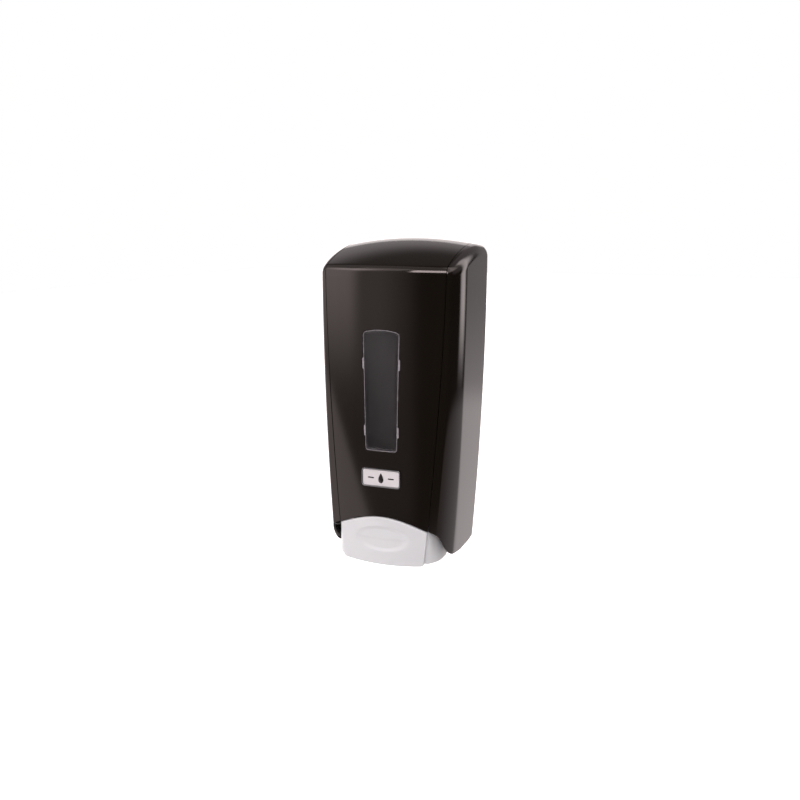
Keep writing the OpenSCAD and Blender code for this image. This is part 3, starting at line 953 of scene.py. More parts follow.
@dataclass
class FrontCover:
    """The hinged front cover: skin, window opening, badge pocket, hinge arms and lock keeper."""

    form: Form
    window: WindowShape
    badge: BadgeShape
    cols: int = 88
    rows_roof: int = 34
    rows_edge: int = 12
    rows_front: int = 150
    rim_r: float = 0.28

    def point(self, v: Array, row: Array, t: float) -> Array:
        """Points of the skin.

        Args:
            v: Place across, -1 to 1.
            row: Place along the roof (0 to 1), round the edge (to 2) and down the front (to 3).
            t: Depth behind the outer skin.

        Returns:
            Points with the shape of v and row, and a last axis of 3.
        """
        f = self.form
        v, row = np.broadcast_arrays(np.asarray(v, float), np.asarray(row, float))
        xt = v * (f.seam_top - f.gap)
        yf = f.front_y(xt, f.edge) + t
        re = f.top_r - t
        y_in = yf + re
        y = mix(f.y_rear, y_in, np.clip(row, 0, 1))
        roof = np.stack([xt, y, f.roof(xt, y) - t], -1)
        s = np.clip(row - 1, 0, 1)[..., None]
        p_in = np.stack([xt, y_in, f.roof(xt, y_in) - t], -1)
        p_c = np.stack([xt, yf, f.roof(xt, yf) - t], -1)
        p_out = p_c - np.array([0, 0, re])
        edge = p_in * (1 - s) ** 2 + p_c * 2 * s * (1 - s) + p_out * s * s
        x_low = v * (f.seam_x(f.foot + 30) - f.gap)
        z_low = f.arch(f.front_y(x_low, f.foot + 30))
        z = mix(p_out[..., 2], z_low, np.clip(row - 2, 0, 1))
        x = v * (f.seam_x(z) - f.gap)
        front = np.stack([x, f.front_y(x, z) + t, z], -1)
        row = row[..., None]
        return np.where(row <= 1, roof, np.where(row <= 2, edge, front))

    def cells(self, outline: Outline, grow: float, spare: float) -> tuple[int, int, int]:
        """Finds the block of grid cells that a hole sits in.

        Args:
            outline: Shape of the hole.
            grow: How much the hole is grown.
            spare: Least distance between the hole and the block's edge.

        Returns:
            Half count of columns, first row and last row of the block.
        """
        f = self.form
        half = outline.half(20, 60, 20)
        z_hi, z_lo, x_hi = half[:, 1].max() + grow, half[:, 1].min() - grow, half[:, 0].max() + grow
        v_lines, rows = self.lines()
        seam = f.seam_x(np.array([z_hi, z_lo])).min() if z_lo > 0 else f.seam_x(np.array(z_lo))
        need = (x_hi + spare) / float(seam - f.gap)
        n = int(math.ceil(need * self.cols / 2))
        n = min(n, self.cols // 2 - 2)
        vb = v_lines[self.cols // 2 + n]
        z_mid = self.point(0.0, rows, 0)[:, 2]
        z_side = self.point(vb, rows, 0)[:, 2]
        first = int(np.max(np.where(np.minimum(z_mid, z_side) > z_hi + spare)[0]))
        last = int(np.min(np.where((np.maximum(z_mid, z_side) < z_lo - spare) & (rows > 2))[0]))
        return n, first, last

    def lines(self) -> tuple[Array, Array]:
        """Places of the grid lines across and down."""
        v = np.linspace(-1, 1, self.cols + 1)
        down = np.linspace(0, 1, self.rows_roof + 1)
        over = np.linspace(1, 2, self.rows_edge + 1)[1:]
        front = np.linspace(2, 3, self.rows_front + 1)[1:]
        return v, np.concatenate([down, over, front])

    def hole(
        self, outline: Outline, grow: float, block_of: tuple[int, int, int], t: float, sign: float
    ) -> tuple[list[tuple[Array, list[tuple[int, ...]]]], Array]:
        """Fills the block round a hole and rounds the hole's rim.

        Args:
            outline: Shape of the hole.
            grow: How much the hole is grown.
            block_of: Block of cells as cells() gives it.
            t: Depth of this skin behind the outer one.
            sign: 1 if the rim turns inwards from the outer skin, -1 from the inner one.

        Returns:
            Mesh parts, and the last loop of the rim.
        """
        f = self.form
        n, first, last = block_of
        v, rows = self.lines()
        mid = self.cols // 2
        top = self.point(v[mid : mid + n + 1], rows[first], t)
        side = self.point(v[mid + n], rows[first : last + 1], t)
        low = self.point(v[mid : mid + n + 1], rows[last], t)[::-1]
        half = np.concatenate([top[:-1], side[:-1], low])
        bound = np.concatenate([half[:-1], (half[::-1] * [-1, 1, 1])[:-1]])
        loop = mirror_half(outline.half(n, last - first, n))
        out = loop_normals(loop)
        rim = loop + out * grow

        def at(flat: Array, depth: float) -> Array:
            """Lifts flat points onto the skin."""
            return np.stack([flat[:, 0], f.front_y(flat[:, 0], flat[:, 1]) + t + depth, flat[:, 1]], 1)

        start = rim + out * self.rim_r
        loops = [bound]
        for k in (0.72, 0.45, 0.22, 0.08):
            loops.append(at(start * (1 - k) + bound[:, [0, 2]] * k, 0.0))
        for a in np.linspace(0, np.pi / 2, 5):
            flat = rim + out * self.rim_r * (1 - math.sin(a))
            loops.append(at(flat, sign * self.rim_r * (1 - math.cos(a))))
        return [band(loops)], loops[-1]

    def skin(self) -> bpy.types.Object:
        """Builds the closed skin with its openings."""
        v, rows = self.lines()
        wall = self.form.wall
        w_out, b_out = self.window.outline(True), self.badge.outline()
        w_block, b_block = self.cells(w_out, 0.25, 2.4), self.cells(b_out, 0.2, 2.2)
        mid = self.cols // 2

        def outside(block_of: tuple[int, int, int]) -> Callable[[int, int], bool]:
            """Test that a cell isn't in a block."""
            n, first, last = block_of
            return lambda i, j: not (first <= i < last and mid - n <= j < mid + n)

        free_w, free_b = outside(w_block), outside(b_block)
        outer = self.point(v[None, :], rows[:, None], 0.0)
        inner = self.point(v[None, :], rows[:, None], wall)
        shape = outer.shape[:2]
        parts = [
            (outer.reshape(-1, 3), grid_faces(*shape, lambda i, j: free_w(i, j) and free_b(i, j))),
            (inner.reshape(-1, 3), grid_faces(*shape, free_w)),
        ]
        for grid in (lambda g: g[0], lambda g: g[-1], lambda g: g[:, 0], lambda g: g[:, -1]):
            parts.append(band([grid(outer), grid(inner)], closed=False))
        near, rim_a = self.hole(w_out, 0.25, w_block, 0.0, 1.0)
        far, rim_b = self.hole(w_out, 0.25, w_block, wall, -1.0)
        pocket, rim_c = self.hole(b_out, 0.2, b_block, 0.0, 1.0)
        floor_y = float(self.form.front_y(np.array(0.0), np.array(self.badge.height))) + 1.2
        floor_loop = rim_c.copy()
        floor_loop[:, 1] = floor_y
        floor = fill_chords(floor_loop[:, [0, 2]], 8, lambda x, z: np.full(np.shape(x), floor_y))
        parts += [*near, *far, band([rim_a, rim_b]), *pocket, band([rim_c, floor_loop]), floor]
        verts, faces = join_arrays(parts)
        return round_edges(build("cover_skin", verts, faces, [SHELL_ABS]), 0.65, 3, 50)

    def arm(self, side: Side) -> bpy.types.Object:
        """Builds one hinge arm that carries the cover and the push bar."""
        f, k = self.form, side.value
        zb = f.foot
        arm_x, hin, piv = f.arm_x, f.hinge, f.pivot
        y1 = float(f.front_y(np.array(arm_x), np.array(piv[1]))) + 1.6
        flat = [
            (y1, zb + 34), (y1, zb + 66), (-89, zb + 54), (-80, zb + 46), (-54, zb + 40), (-41, zb + 22),
            (-40.6, hin[1]), (-51.4, hin[1]), (-53, zb + 16), (-62, zb + 27), (-86, zb + 31), (-92, zb + 36),
        ]
        lo, hi = sorted((k * (arm_x - 3), k * arm_x))
        body = prism("arm", Axis.X, flat, lo, hi, SHELL_ABS)
        steps = [
            ("UNION", rod(Axis.X, hin, 5.4, lo, hi, SHELL_ABS)),
            ("UNION", rod(Axis.X, piv, 5.0, lo, hi, SHELL_ABS)),
            ("DIFFERENCE", rod(Axis.X, hin, 2.5, lo - 2, hi + 2, SHELL_ABS, 48)),
            ("DIFFERENCE", rod(Axis.X, piv, 2.2, lo - 2, hi + 2, SHELL_ABS, 48)),
        ]
        return round_edges(carve(body, steps), 0.4, 2)

    def make(self) -> None:
        """Builds the cover, its lens and its badge."""
        f = self.form
        whole = merge("front_cover_shell", [self.skin(), self.arm(Side.RIGHT), self.arm(Side.LEFT)])
        place(whole, Body.COVER, "black_abs", "front_cover")
        place(self.lens(), Body.COVER, "smoke_lens", "window_lens")
        self.make_badge()
        keeper = block((-4, -25.6, f.top - 12), (4, -23.2, f.top - 2), CRADLE_PP)
        keeper.name = "lock_keeper_tab"
        place(round_edges(keeper, 0.4, 3), Body.COVER, "cradle_pp", "lock_keeper")

    def lens(self) -> bpy.types.Object:
        """Builds the window lens, with a raised panel inside a thin border."""
        f, w = self.form, self.window
        loop = mirror_half(w.outline(True).half(26, 84, 26))
        plain = loop.copy()
        for i, (x, z) in enumerate(plain):
            plain[i, 0] = math.copysign(min(abs(x), w.edge_x(z)), x) if abs(z - w.top) > 6 else x
        out, inn = loop_normals(loop), loop_normals(plain)
        e = 0.22

        def skin(flat: Array, depth: float) -> Array:
            """Lifts a flat loop onto the skin."""
            return np.stack([flat[:, 0], f.front_y(flat[:, 0], flat[:, 1]) + depth, flat[:, 1]], 1)

        loops = [skin(plain - inn * 2.6, 2.6), skin(loop - out * e, 2.6)]
        for a in np.linspace(np.pi / 2, 0, 4):
            loops.append(skin(loop - out * e * (1 - math.cos(a)), 2.6 - e + e * math.sin(a)))
        bead = (
            (0.0, 0.62), (0.04, 0.42), (0.12, 0.28), (0.24, 0.2), (0.36, 0.22), (0.48, 0.34), (0.56, 0.55),
        )
        first = len(loops) - 1
        for inset, depth in bead:
            loops.append(skin(loop - out * inset if inset < 0.2 else plain - inn * inset, depth))
        last = len(loops) - 1
        groove = (
            (0.64, 1.0), (1.1, 1.1), (1.6, 1.1), (1.72, 1.06), (1.82, 0.92), (1.9, 0.72), (2.02, 0.58),
            (2.2, 0.52), (2.6, 0.5),
        )
        for inset, depth in groove:
            loops.append(skin(plain - inn * inset, depth))
        edge = band(loops)
        inner = plain - inn * 2.6
        verts, faces = join_arrays(
            [
                edge,
                fill_chords(inner, 24, lambda x, z: f.front_y(x, z) + 0.5),
                fill_chords(inner, 24, lambda x, z: f.front_y(x, z) + 2.6),
            ]
        )
        n = len(loop)
        # The bead faces get the pale land finish, whose pale tone paints the bright highlight line round the
        # window edge.
        index = [1 if first * n <= k < last * n else 0 for k in range(len(faces))]
        return build("window_lens_smoked", verts, faces, [LENS_SMOKE, LENS_LAND_PAINTED_HIGHLIGHT], 40, index)

    def make_badge(self) -> None:
        """Builds the silver badge with its pale field, and the emblem of a drop between two bars."""
        f, b = self.form, self.badge
        fy = float(f.front_y(np.array(0.0), np.array(b.height)))
        loop = mirror_half(b.outline().half(30, 24, 30))
        rings = [(0.45, 0.0), (0.8, 0.0), (0.94, 0.04), (1.02, 0.14), (1.06, 0.42), (1.1, 0.48), (1.25, 0.5)]
        parts = plate_mesh(insets(loop), rings, lambda x, z: np.full(np.shape(x), fy - 0.6), 1.7, 28, 0.3)
        verts, faces = join_arrays(parts)
        field_faces = range(len(parts[0][1]), len(parts[0][1]) + len(parts[1][1]))
        index = [1 if i in field_faces else 0 for i in range(len(faces))]
        frame = build("badge_silver_frame", verts, faces, [TRIM_SILVER, FIELD_PRINT], 40, index)
        place(frame, Body.COVER, "badge_silver", "badge_frame")
        turn = np.linspace(0, 2 * np.pi, 97)[:-1]
        reach = 3.1 * np.abs(np.sin(turn / 2)) ** 0.9
        drop = np.stack([reach * np.sin(turn), b.height + 4.6 * np.cos(turn)], 1)
        bars = []
        for s in (-1, 1):
            a = np.linspace(np.pi / 2, -np.pi / 2, 13)
            cap = np.stack([2.4 + 0.6 * np.cos(a), 0.6 * np.sin(a)], 1)
            bars.append(np.concatenate([cap, -cap]) + [s * 9.5, b.height])
        solids = [self.dome(shape, fy - 0.1, 0.38) for shape in (drop, *bars)]
        verts, faces = join_arrays(solids)
        emblem = build("badge_drop_emblem", verts, faces, [EMBLEM_PRINT], 60)
        place(emblem, Body.COVER, "emblem_print", "badge_emblem")

    @staticmethod
    def dome(loop: Array, base: float, rise: float) -> tuple[Array, list[tuple[int, ...]]]:
        """Makes a flat shape swollen like a drop of resin.

        Args:
            loop: Outline in x and z.
            base: Depth of its foot.
            rise: How far its middle stands out.

        Returns:
            Vertices and faces.
        """
        centre = loop.mean(axis=0)
        loops = []
        for k in (1.0, 0.97, 0.9, 0.78, 0.6, 0.35, 0.12):
            flat = centre + (loop - centre) * k
            lift = rise * (1 - k**2.6) ** 0.55
            loops.append(np.stack([flat[:, 0], np.full(len(flat), base - lift), flat[:, 1]], 1))
        verts, faces = band(loops)
        n = len(loop)
        faces += [tuple(range(n - 1, -1, -1)), tuple(range(6 * n, 7 * n))]
        return verts, faces


# ---------------------------------------------------------------- the rear housing


@dataclass
class RearHousing:
    """The housing on the wall: two cheeks, a back wall, a roof ledge and bosses."""

    form: Form
    rows_wall: int = 110
    rows_roll: int = 26

    def plan(self, c: Array, z: Array, t: float) -> Array:
        """Points of a cheek in plan at a height, c from the seam (0) to the wall (3)."""
        f = self.form
        c, z = np.broadcast_arrays(np.asarray(c, float), np.asarray(z, float))
        xs, hw = f.seam_x(z) + f.gap, f.half_w(z)
        xc = hw - f.corner_x
        yc = f.front_y(xc, z)
        lean = np.arcsin(xc / f.front_r)
        x1 = mix(xs, xc, np.clip(c, 0, 1))
        front = np.stack([x1, f.front_y(x1, z) + t], -1)
        p0 = np.stack([xc, yc + t], -1)
        p1 = p0 + np.stack([np.cos(lean), np.sin(lean)], -1) * 0.55 * (f.corner_x - t)
        k = f.side_in(z)
        p2 = np.stack([hw - t, yc + k - 0.55 * (k - t)], -1)
        p3 = np.stack([hw - t, yc + k], -1)
        s = np.clip(c - 1, 0, 1)[..., None]
        turn = p0 * (1 - s) ** 3 + p1 * 3 * s * (1 - s) ** 2 + p2 * 3 * s * s * (1 - s) + p3 * s**3
        flank = np.stack([hw - t, mix(yc + k, -f.plate, np.clip(c - 2, 0, 1))], -1)
        at = c[..., None]
        return np.where(at <= 1, front, np.where(at <= 2, turn, flank))

    def point(self, c: Array, row: Array, t: float) -> Array:
        """Points of the right cheek: row 0 to 1 up the wall, 1 to 2 over to the roof."""
        f = self.form
        c, row = np.broadcast_arrays(np.asarray(c, float), np.asarray(row, float))
        ease = smooth((c - 0.5) / 1.5)
        q = self.plan(c, np.full(c.shape, f.edge), t)
        re = f.top_r - t
        p3y, p3x = q[..., 1] + re * (1 - ease), f.seam_top + f.gap
        z_low = f.arch(self.plan(c, np.full(c.shape, f.foot + 15), 0.0)[..., 1])
        z_we = f.roof(q[..., 0], q[..., 1]) - t - mix(re, 10 - t, ease)
        z = mix(z_low, z_we, np.clip(row, 0, 1))
        wall = np.concatenate([self.plan(c, z, t), z[..., None]], -1)
        q2 = self.plan(c, z_we, t)
        d = np.stack([p3x - q2[..., 0], p3y - q2[..., 1]], -1)
        m = q2 + d * 0.4
        s = np.clip(row - 1, 0, 1)[..., None]
        roof_q = f.roof(q2[..., 0], q2[..., 1]) - t
        a = np.concatenate([q2, z_we[..., None]], -1)
        b = np.concatenate([q2, mix(z_we, roof_q, 0.6)[..., None]], -1)
        e = np.concatenate([m, (f.roof(m[..., 0], m[..., 1]) - t)[..., None]], -1)
        end_x = np.full(p3y.shape, p3x)
        g = np.stack([end_x, p3y, f.roof(end_x, p3y) - t], -1)
        roll = a * (1 - s) ** 3 + b * 3 * s * (1 - s) ** 2 + e * 3 * s * s * (1 - s) + g * s**3
        return np.where(row[..., None] <= 1, wall, roll)

    def cheek(self, side: Side) -> bpy.types.Object:
        """Builds one cheek as a closed shell with rounded edges."""
        cs = np.concatenate([np.linspace(0, 1, 9)[:-1], np.linspace(1, 2, 37)[:-1], np.linspace(2, 3, 37)])
        up, over = np.linspace(0, 1, self.rows_wall + 1), np.linspace(1, 2, self.rows_roll + 1)[1:]
        rows = np.concatenate([up, over])
        outer = self.point(cs[None, :], rows[:, None], 0.0) * [side.value, 1, 1]
        inner = self.point(cs[None, :], rows[:, None], self.form.wall) * [side.value, 1, 1]
        shape = outer.shape[:2]
        parts = [(outer.reshape(-1, 3), grid_faces(*shape)), (inner.reshape(-1, 3), grid_faces(*shape))]
        for grid in (lambda g: g[0], lambda g: g[-1], lambda g: g[:, 0], lambda g: g[:, -1]):
            parts.append(band([grid(outer), grid(inner)], closed=False))
        verts, faces = join_arrays(parts)
        return round_edges(build("cheek", verts, faces, [SHELL_ABS]), 0.42, 3, 50)

    def wall_outline(self, inset: float, lo: float, hi: float) -> Array:
        """Outline of a plate that follows the taper of the body."""
        z = np.linspace(lo, hi, 25)
        x = self.form.half_w(z) - inset
        return np.concatenate([np.stack([x, z], 1), np.stack([-x, z], 1)[::-1]])

    def back(self) -> bpy.types.Object:
        """Builds the back wall with its ledge, bosses, slots and bores."""
        f = self.form
        zb, yb, t = f.foot, f.y_back, f.wall
        xs = np.linspace(-1, 1, 33) * (f.seam_top + 1.6)
        roof = f.roof(xs, np.full(33, -8.0))
        ledge = np.concatenate([np.stack([xs, roof - 0.25], 1), np.stack([xs, roof - t], 1)[::-1]])
        r_end = float(f.roof(np.array(f.seam_top), np.array(-8.0))) - 1
        riser = [
            (-f.seam_top, f.top - 14), (f.seam_top, f.top - 14), (f.seam_top, r_end), (0, f.top - 1.4),
            (-f.seam_top, r_end),
        ]
        base = prism("back", Axis.Y, self.wall_outline(1.1, zb - 3, f.top - 12), yb - t, yb, SHELL_ABS)
        arm_x, cradle_x = f.arm_x, f.bottle_x - 7
        in_x = float(f.half_w(np.array(f.hinge[1]))) - t + 0.8
        flange, screw_h = yb - t - 4, zb + 58.3
        steps: list[tuple[str, bpy.types.Object]] = [
            ("UNION", prism("ledge", Axis.Y, ledge, f.y_rear + 0.6, yb - 0.3, SHELL_ABS)),
            ("UNION", prism("riser", Axis.Y, riser, yb - t, yb - 0.3, SHELL_ABS)),
            ("UNION", rod(Axis.Z, (0, f.lock_y), 7.2, f.top - 5.4, f.top - 2, SHELL_ABS)),
        ]
        screws = [(sx * 32, sz * 76) for sx in (-1, 1) for sz in (-1, 1)]
        steps += [("UNION", rod(Axis.Y, p, 5.6, -8.2, yb - 1, SHELL_ABS)) for p in screws]
        for s in (-1, 1):
            lo, hi = sorted((s * (arm_x + 2.4), s * in_x))
            steps.append(("UNION", rod(Axis.Y, (s * cradle_x, screw_h), 4, flange, yb - 1, SHELL_ABS)))
            steps.append(("UNION", rod(Axis.X, f.hinge, 4.9, lo, hi, SHELL_ABS)))
        steps += [("DIFFERENCE", rod(Axis.Y, p, 2.6, -12, 1, SHELL_ABS, 48)) for p in screws]
        for x in (-26, 26):
            for z in (-98, 98):
                steps.append(("DIFFERENCE", block((x - 6.5, -12, z - 8.5), (x + 6.5, 1, z + 2), SHELL_ABS)))
        steps.append(("DIFFERENCE", rod(Axis.Z, (0, f.lock_y), 4.55, f.top - 8, f.top + 4, SHELL_ABS)))
        for s in (-1, 1):
            lo, hi = sorted((s * (arm_x - 1), s * (in_x - 1.4)))
            steps.append(("DIFFERENCE", rod(Axis.X, f.hinge, 2.55, lo, hi, SHELL_ABS, 48)))
            bore = rod(Axis.Y, (s * cradle_x, screw_h), 1.6, flange - 1, yb - 0.8, SHELL_ABS, 32)
            steps.append(("DIFFERENCE", bore))
        return round_edges(carve(base, steps), 0.3, 2)

    def make(self) -> None:
        """Builds the whole housing as one piece."""
        whole = merge("rear_housing_shell", [self.cheek(Side.RIGHT), self.cheek(Side.LEFT), self.back()])
        place(whole, Body.HOUSING, "black_abs", "rear_housing")


# ---------------------------------------------------------------- the push bar


@dataclass
class PushPad:
    """The white finger pad, with an oval recess and a grip ridge across it."""

    form: Form
    recess_w: float = 27.5
    recess_h: float = 12.2
    recess_z: float = 17.8
    deep: float = 2.4

    def plain(self, x: Array) -> Array:
        """Depth of the front face without its recess."""
        f = self.form
        mid = float(f.front_y(np.array(0.0), np.array(f.foot + 16)))
        return mid + f.front_r - np.sqrt(f.front_r**2 - x * x)

    def skin(self, x: Array, z: Array) -> Array:
        """Depth of the front face, recess included."""
        f = self.form
        y = self.plain(x)
        u, w = x / self.recess_w, (z - f.foot - self.recess_z) / self.recess_h
        inside = np.clip(1 - u * u - w * w, 0, 1)
        bowl = smooth(inside * 1.9) * (1 - 0.25 * u * u)
        upper = smooth((w + 0.12) / 0.22)
        slope = 0.55 + 0.45 * np.clip((w + 0.05) / 0.8, 0, 1)
        lower = 0.78 - 0.25 * np.clip((-w - 0.1) / 0.9, 0, 1)
        return y + self.deep * bowl * (lower * (1 - upper) + (slope - 0.12) * upper)

    def make(self) -> None:
        """Builds the pad."""
        f = self.form
        zb = f.foot

        def loop_at(inset: float) -> Array:
            """Outline of the pad at an inset, with its corners kept in line."""
            w = float(f.seam_x(np.array(zb + 28))) - 0.8 - inset
            v = float(f.seam_x(np.array(zb - 3))) - 0.8 - inset
            foot = zb - 6.6 + inset
            xs = np.linspace(0, w, 40)
            top = np.stack([xs, f.arch(f.front_y(xs, np.full(40, zb + 30))) - 1.0 - inset], 1)
            side = np.stack([np.linspace(w, v, 40), np.linspace(top[-1, 1], foot + 3.4, 40)], 1)
            turn = [(v, foot + 3.4), (v - 0.6, foot + 2.5), (v - 1.2, foot + 1.8), (v - 2.0, foot + 1.5)]
            low = bezier(turn, 12)
            tail = bezier([(v - 2.0, foot + 1.5), (v * 0.8, foot + 0.9), (v * 0.4, foot), (0, foot)], 60)
            return mirror_half(Outline(top, side, np.concatenate([low[:-1], tail])).half(44, 60, 44))

        thick = 3.0
        parts = plate_mesh(loop_at, [(1.4, 0.0), (2.4, 0.0)], self.skin, thick, 96, 0.7)
        back = parts[2][0]
        back[:, 1] = self.plain(back[:, 0]) + thick
        verts, faces = join_arrays(parts)
        pad = build("push_pad_white", verts, faces, [PAD_ABS], 60)
        place(pad, Body.LEVER, "white_abs", "push_pad")


# ---------------------------------------------------------------- refill


@dataclass
class RefillBottle:
    """The upturned blow moulded refill bottle with its neck."""

    form: Form
    corner: float = 15.0
    shoulder: float = 7.0

    def make(self) -> None:
        """Builds the bottle as one closed skin with a thin parting line."""
        f = self.form
        zb = f.foot
        half_x = f.bottle_x
        y0, y1 = -88.0, f.y_back - f.wall - 7.6
        yc, half_y = (y0 + y1) / 2, (y1 - y0) / 2
        z0, z1 = zb + 62, f.top - 48
        turn = np.linspace(0, 2 * np.pi, 193)[:-1]

        def ring(inset: float, z: float) -> Array:
            """A rounded rectangle at a height, with a faint ridge on the parting line."""
            r = max(self.corner - inset, 2.0)
            hx, hy = half_x - inset, half_y - inset
            c, s = np.cos(turn), np.sin(turn)
            e = 7.0
            reach = 1 / ((np.abs(c) / hx) ** e + (np.abs(s) / hy) ** e) ** (1 / e)
            x, y = reach * c, reach * s
            ridge = 0.12 * np.exp(-((y / 0.5) ** 2)) * np.sign(x) if inset > 0 else 0.0
            soft = 1 - 0.006 * (1 - min(r, 15) / 15)
            return np.stack([x * soft + ridge, yc + y * soft, np.full(len(x), z)], 1)

        def neck(radius: float, z: float) -> Array:
            """A round ring of the neck."""
            x, y = radius * np.cos(turn), f.pump_y + radius * np.sin(turn)
            return np.stack([x, y, np.full(len(turn), z)], 1)

        lid = ring(1.5 + self.shoulder, z1 - 1.6)
        loops = [lid.mean(axis=0) + (lid - lid.mean(axis=0)) * k for k in (0.1, 0.5)]
        loops += [lid, ring(3.4, z1 - 3.5), ring(1.5, z1 - 8.2), ring(1.5, z0 + 8.2), ring(3.4, z0 + 3.5)]
        loops += [ring(1.5 + self.shoulder, z0 + 1.6), neck(19.5, z0 + 1.4)]
        loops += [neck(17.6, zb + 61), neck(17.5, zb + 57)]
        loops += [neck(14.4, zb + 56.2), neck(14.2, zb + 55), neck(14.2, zb + 39.6)]
        loops += [neck(14.5, zb + 39.4), neck(15.4, zb + 39.4), neck(15.6, zb + 39.6)]
        loops += [neck(15.6, zb + 55.2), neck(18.7, zb + 55.4), neck(19, zb + 55.7), neck(19, zb + 61.6)]
        base = ring(self.shoulder, z0 + 0.02)
        for k in (0.2, 0.5, 0.8):
            loops.append(neck(19.2, z0) * (1 - k) + base * k)
        r = self.shoulder
        quarter = np.linspace(0, np.pi / 2, 9)
        loops += [ring(0.15 + r * (1 - math.sin(a)), z0 + r * (1 - math.cos(a))) for a in quarter]
        loops += [ring(0.15, z) for z in np.linspace(z0 + r, z1 - r, 40)[1:-1]]
        loops += [ring(0.15 + r * (1 - math.cos(a)), z1 - r * (1 - math.sin(a))) for a in quarter]
        end = loops[-1]
        mid = end.mean(axis=0)
        for k in (0.7, 0.4, 0.15):
            loops.append(mid + (end - mid) * k - [0, 0, 0.5 * (1 - k)])
        verts, faces = band(loops)
        n = len(turn)
        faces += [tuple(range(n)), tuple(range(len(verts) - 1, len(verts) - n - 1, -1))]
        bottle = build("refill_bottle_HDPE", verts, faces, [BOTTLE_HDPE], 50)
        place(bottle, Body.HOUSING, "bottle_hdpe", "refill_bottle")


# ---------------------------------------------------------------- repeated parts


@dataclass
class NodePart:
    """A part that a geometry node tree makes by a rule."""

    name: str
    finish: Finish
    sizes: dict[str, float]

    def tree(self) -> tuple[bpy.types.NodeTree, dict[str, bpy.types.NodeSocket]]:
        """Starts a tree with one named input for each size.

        Returns:
            The tree and the outputs of its inputs by name.
        """
        tree = bpy.data.node_groups.new(self.name, "GeometryNodeTree")
        tree.interface.new_socket("Geometry", in_out="OUTPUT", socket_type="NodeSocketGeometry")
        for key in self.sizes:
            whole = key.startswith("Count")
            kind = "NodeSocketInt" if whole else "NodeSocketFloat"
            tree.interface.new_socket(key, in_out="INPUT", socket_type=kind)
        start = add(tree, "NodeGroupInput")
        return tree, {s.name: s for s in start.outputs if s.name}

    def close(self, tree: bpy.types.NodeTree, geometry: bpy.types.NodeSocket) -> bpy.types.Object:
        """Ends the tree, runs it and returns the plain piece.

        Args:
            tree: Tree started by tree().
            geometry: Its last geometry.

        Returns:
            The piece without modifiers.
        """
        real = add(tree, "GeometryNodeRealizeInstances", Geometry=geometry)
        shade = add(tree, "GeometryNodeSetShadeSmooth", Geometry=real.outputs[0])
        dress = add(tree, "GeometryNodeSetMaterial", Geometry=shade.outputs[0])
        dress.inputs["Material"].default_value = self.finish.make()
        add(tree, "NodeGroupOutput", Geometry=dress.outputs[0])
        obj = bpy.data.objects.new(self.name, bpy.data.meshes.new(self.name))
        bpy.context.scene.collection.objects.link(obj)
        mod = obj.modifiers.new("rule", "NODES")
        mod.node_group = tree
        sockets = [s for s in tree.interface.items_tree if s.in_out == "INPUT"]
        for s in sockets:
            value = self.sizes[s.name]
            mod[s.identifier] = int(value) if s.name.startswith("Count") else float(value) * MM
        settle(obj)
        bm = bmesh.new()
        bm.from_mesh(obj.data)
        bmesh.ops.remove_doubles(bm, verts=bm.verts, dist=2e-6)
        bmesh.ops.recalc_face_normals(bm, faces=bm.faces)
        finish_edges(bm, 45)
        bm.to_mesh(obj.data)
        bm.free()
        return obj


@dataclass
class CoilSpring(NodePart):
    """A wire coil with closed ends, made along x or z.

    Its sizes are Count turns, Radius, Length, Wire and the place X, Y, Z of its start.
    """

    axis: Axis = Axis.Z

    def make(self) -> bpy.types.Object:
        """Builds the coil."""
        tree, size = self.tree()
        turns = size["Count turns"]
        spiral = add(
            tree,
            "GeometryNodeCurveSpiral",
            Resolution=48,
            Rotations=turns,
            Start_Radius=size["Radius"],
            End_Radius=size["Radius"],
            Height=size["Length"],
        )
        share = add(tree, "GeometryNodeSplineParameter").outputs["Factor"]
        ease = add(tree, "ShaderNodeMapRange", {"interpolation_type": "SMOOTHSTEP"}, i0=share)
        height = add(tree, "ShaderNodeMath", {"operation": "MULTIPLY"}, i0=ease.outputs[0], i1=size["Length"])
        here = add(tree, "GeometryNodeInputPosition")
        split = add(tree, "ShaderNodeSeparateXYZ", i0=here.outputs[0])
        x, y = split.outputs[0], split.outputs[1]
        spot = add(tree, "ShaderNodeCombineXYZ", i0=x, i1=y, i2=height.outputs[0])
        wound = add(tree, "GeometryNodeSetPosition", Geometry=spiral.outputs[0], Position=spot.outputs[0])
        wire = add(tree, "GeometryNodeCurvePrimitiveCircle", Resolution=12, Radius=size["Wire"])
        solid = add(tree, "GeometryNodeCurveToMesh", i0=wound.outputs[0], i1=wire.outputs[0])
        solid.inputs["Fill Caps"].default_value = True
        put = add(tree, "ShaderNodeCombineXYZ", i0=size["X"], i1=size["Y"], i2=size["Z"])
        turn = (0.0, math.pi / 2, 0.0) if self.axis is Axis.X else (0.0, 0.0, 0.0)
        moved = add(tree, "GeometryNodeTransform", Geometry=solid.outputs[0], Translation=put.outputs[0])
        moved.inputs["Rotation"].default_value = turn
        return self.close(tree, moved.outputs[0])


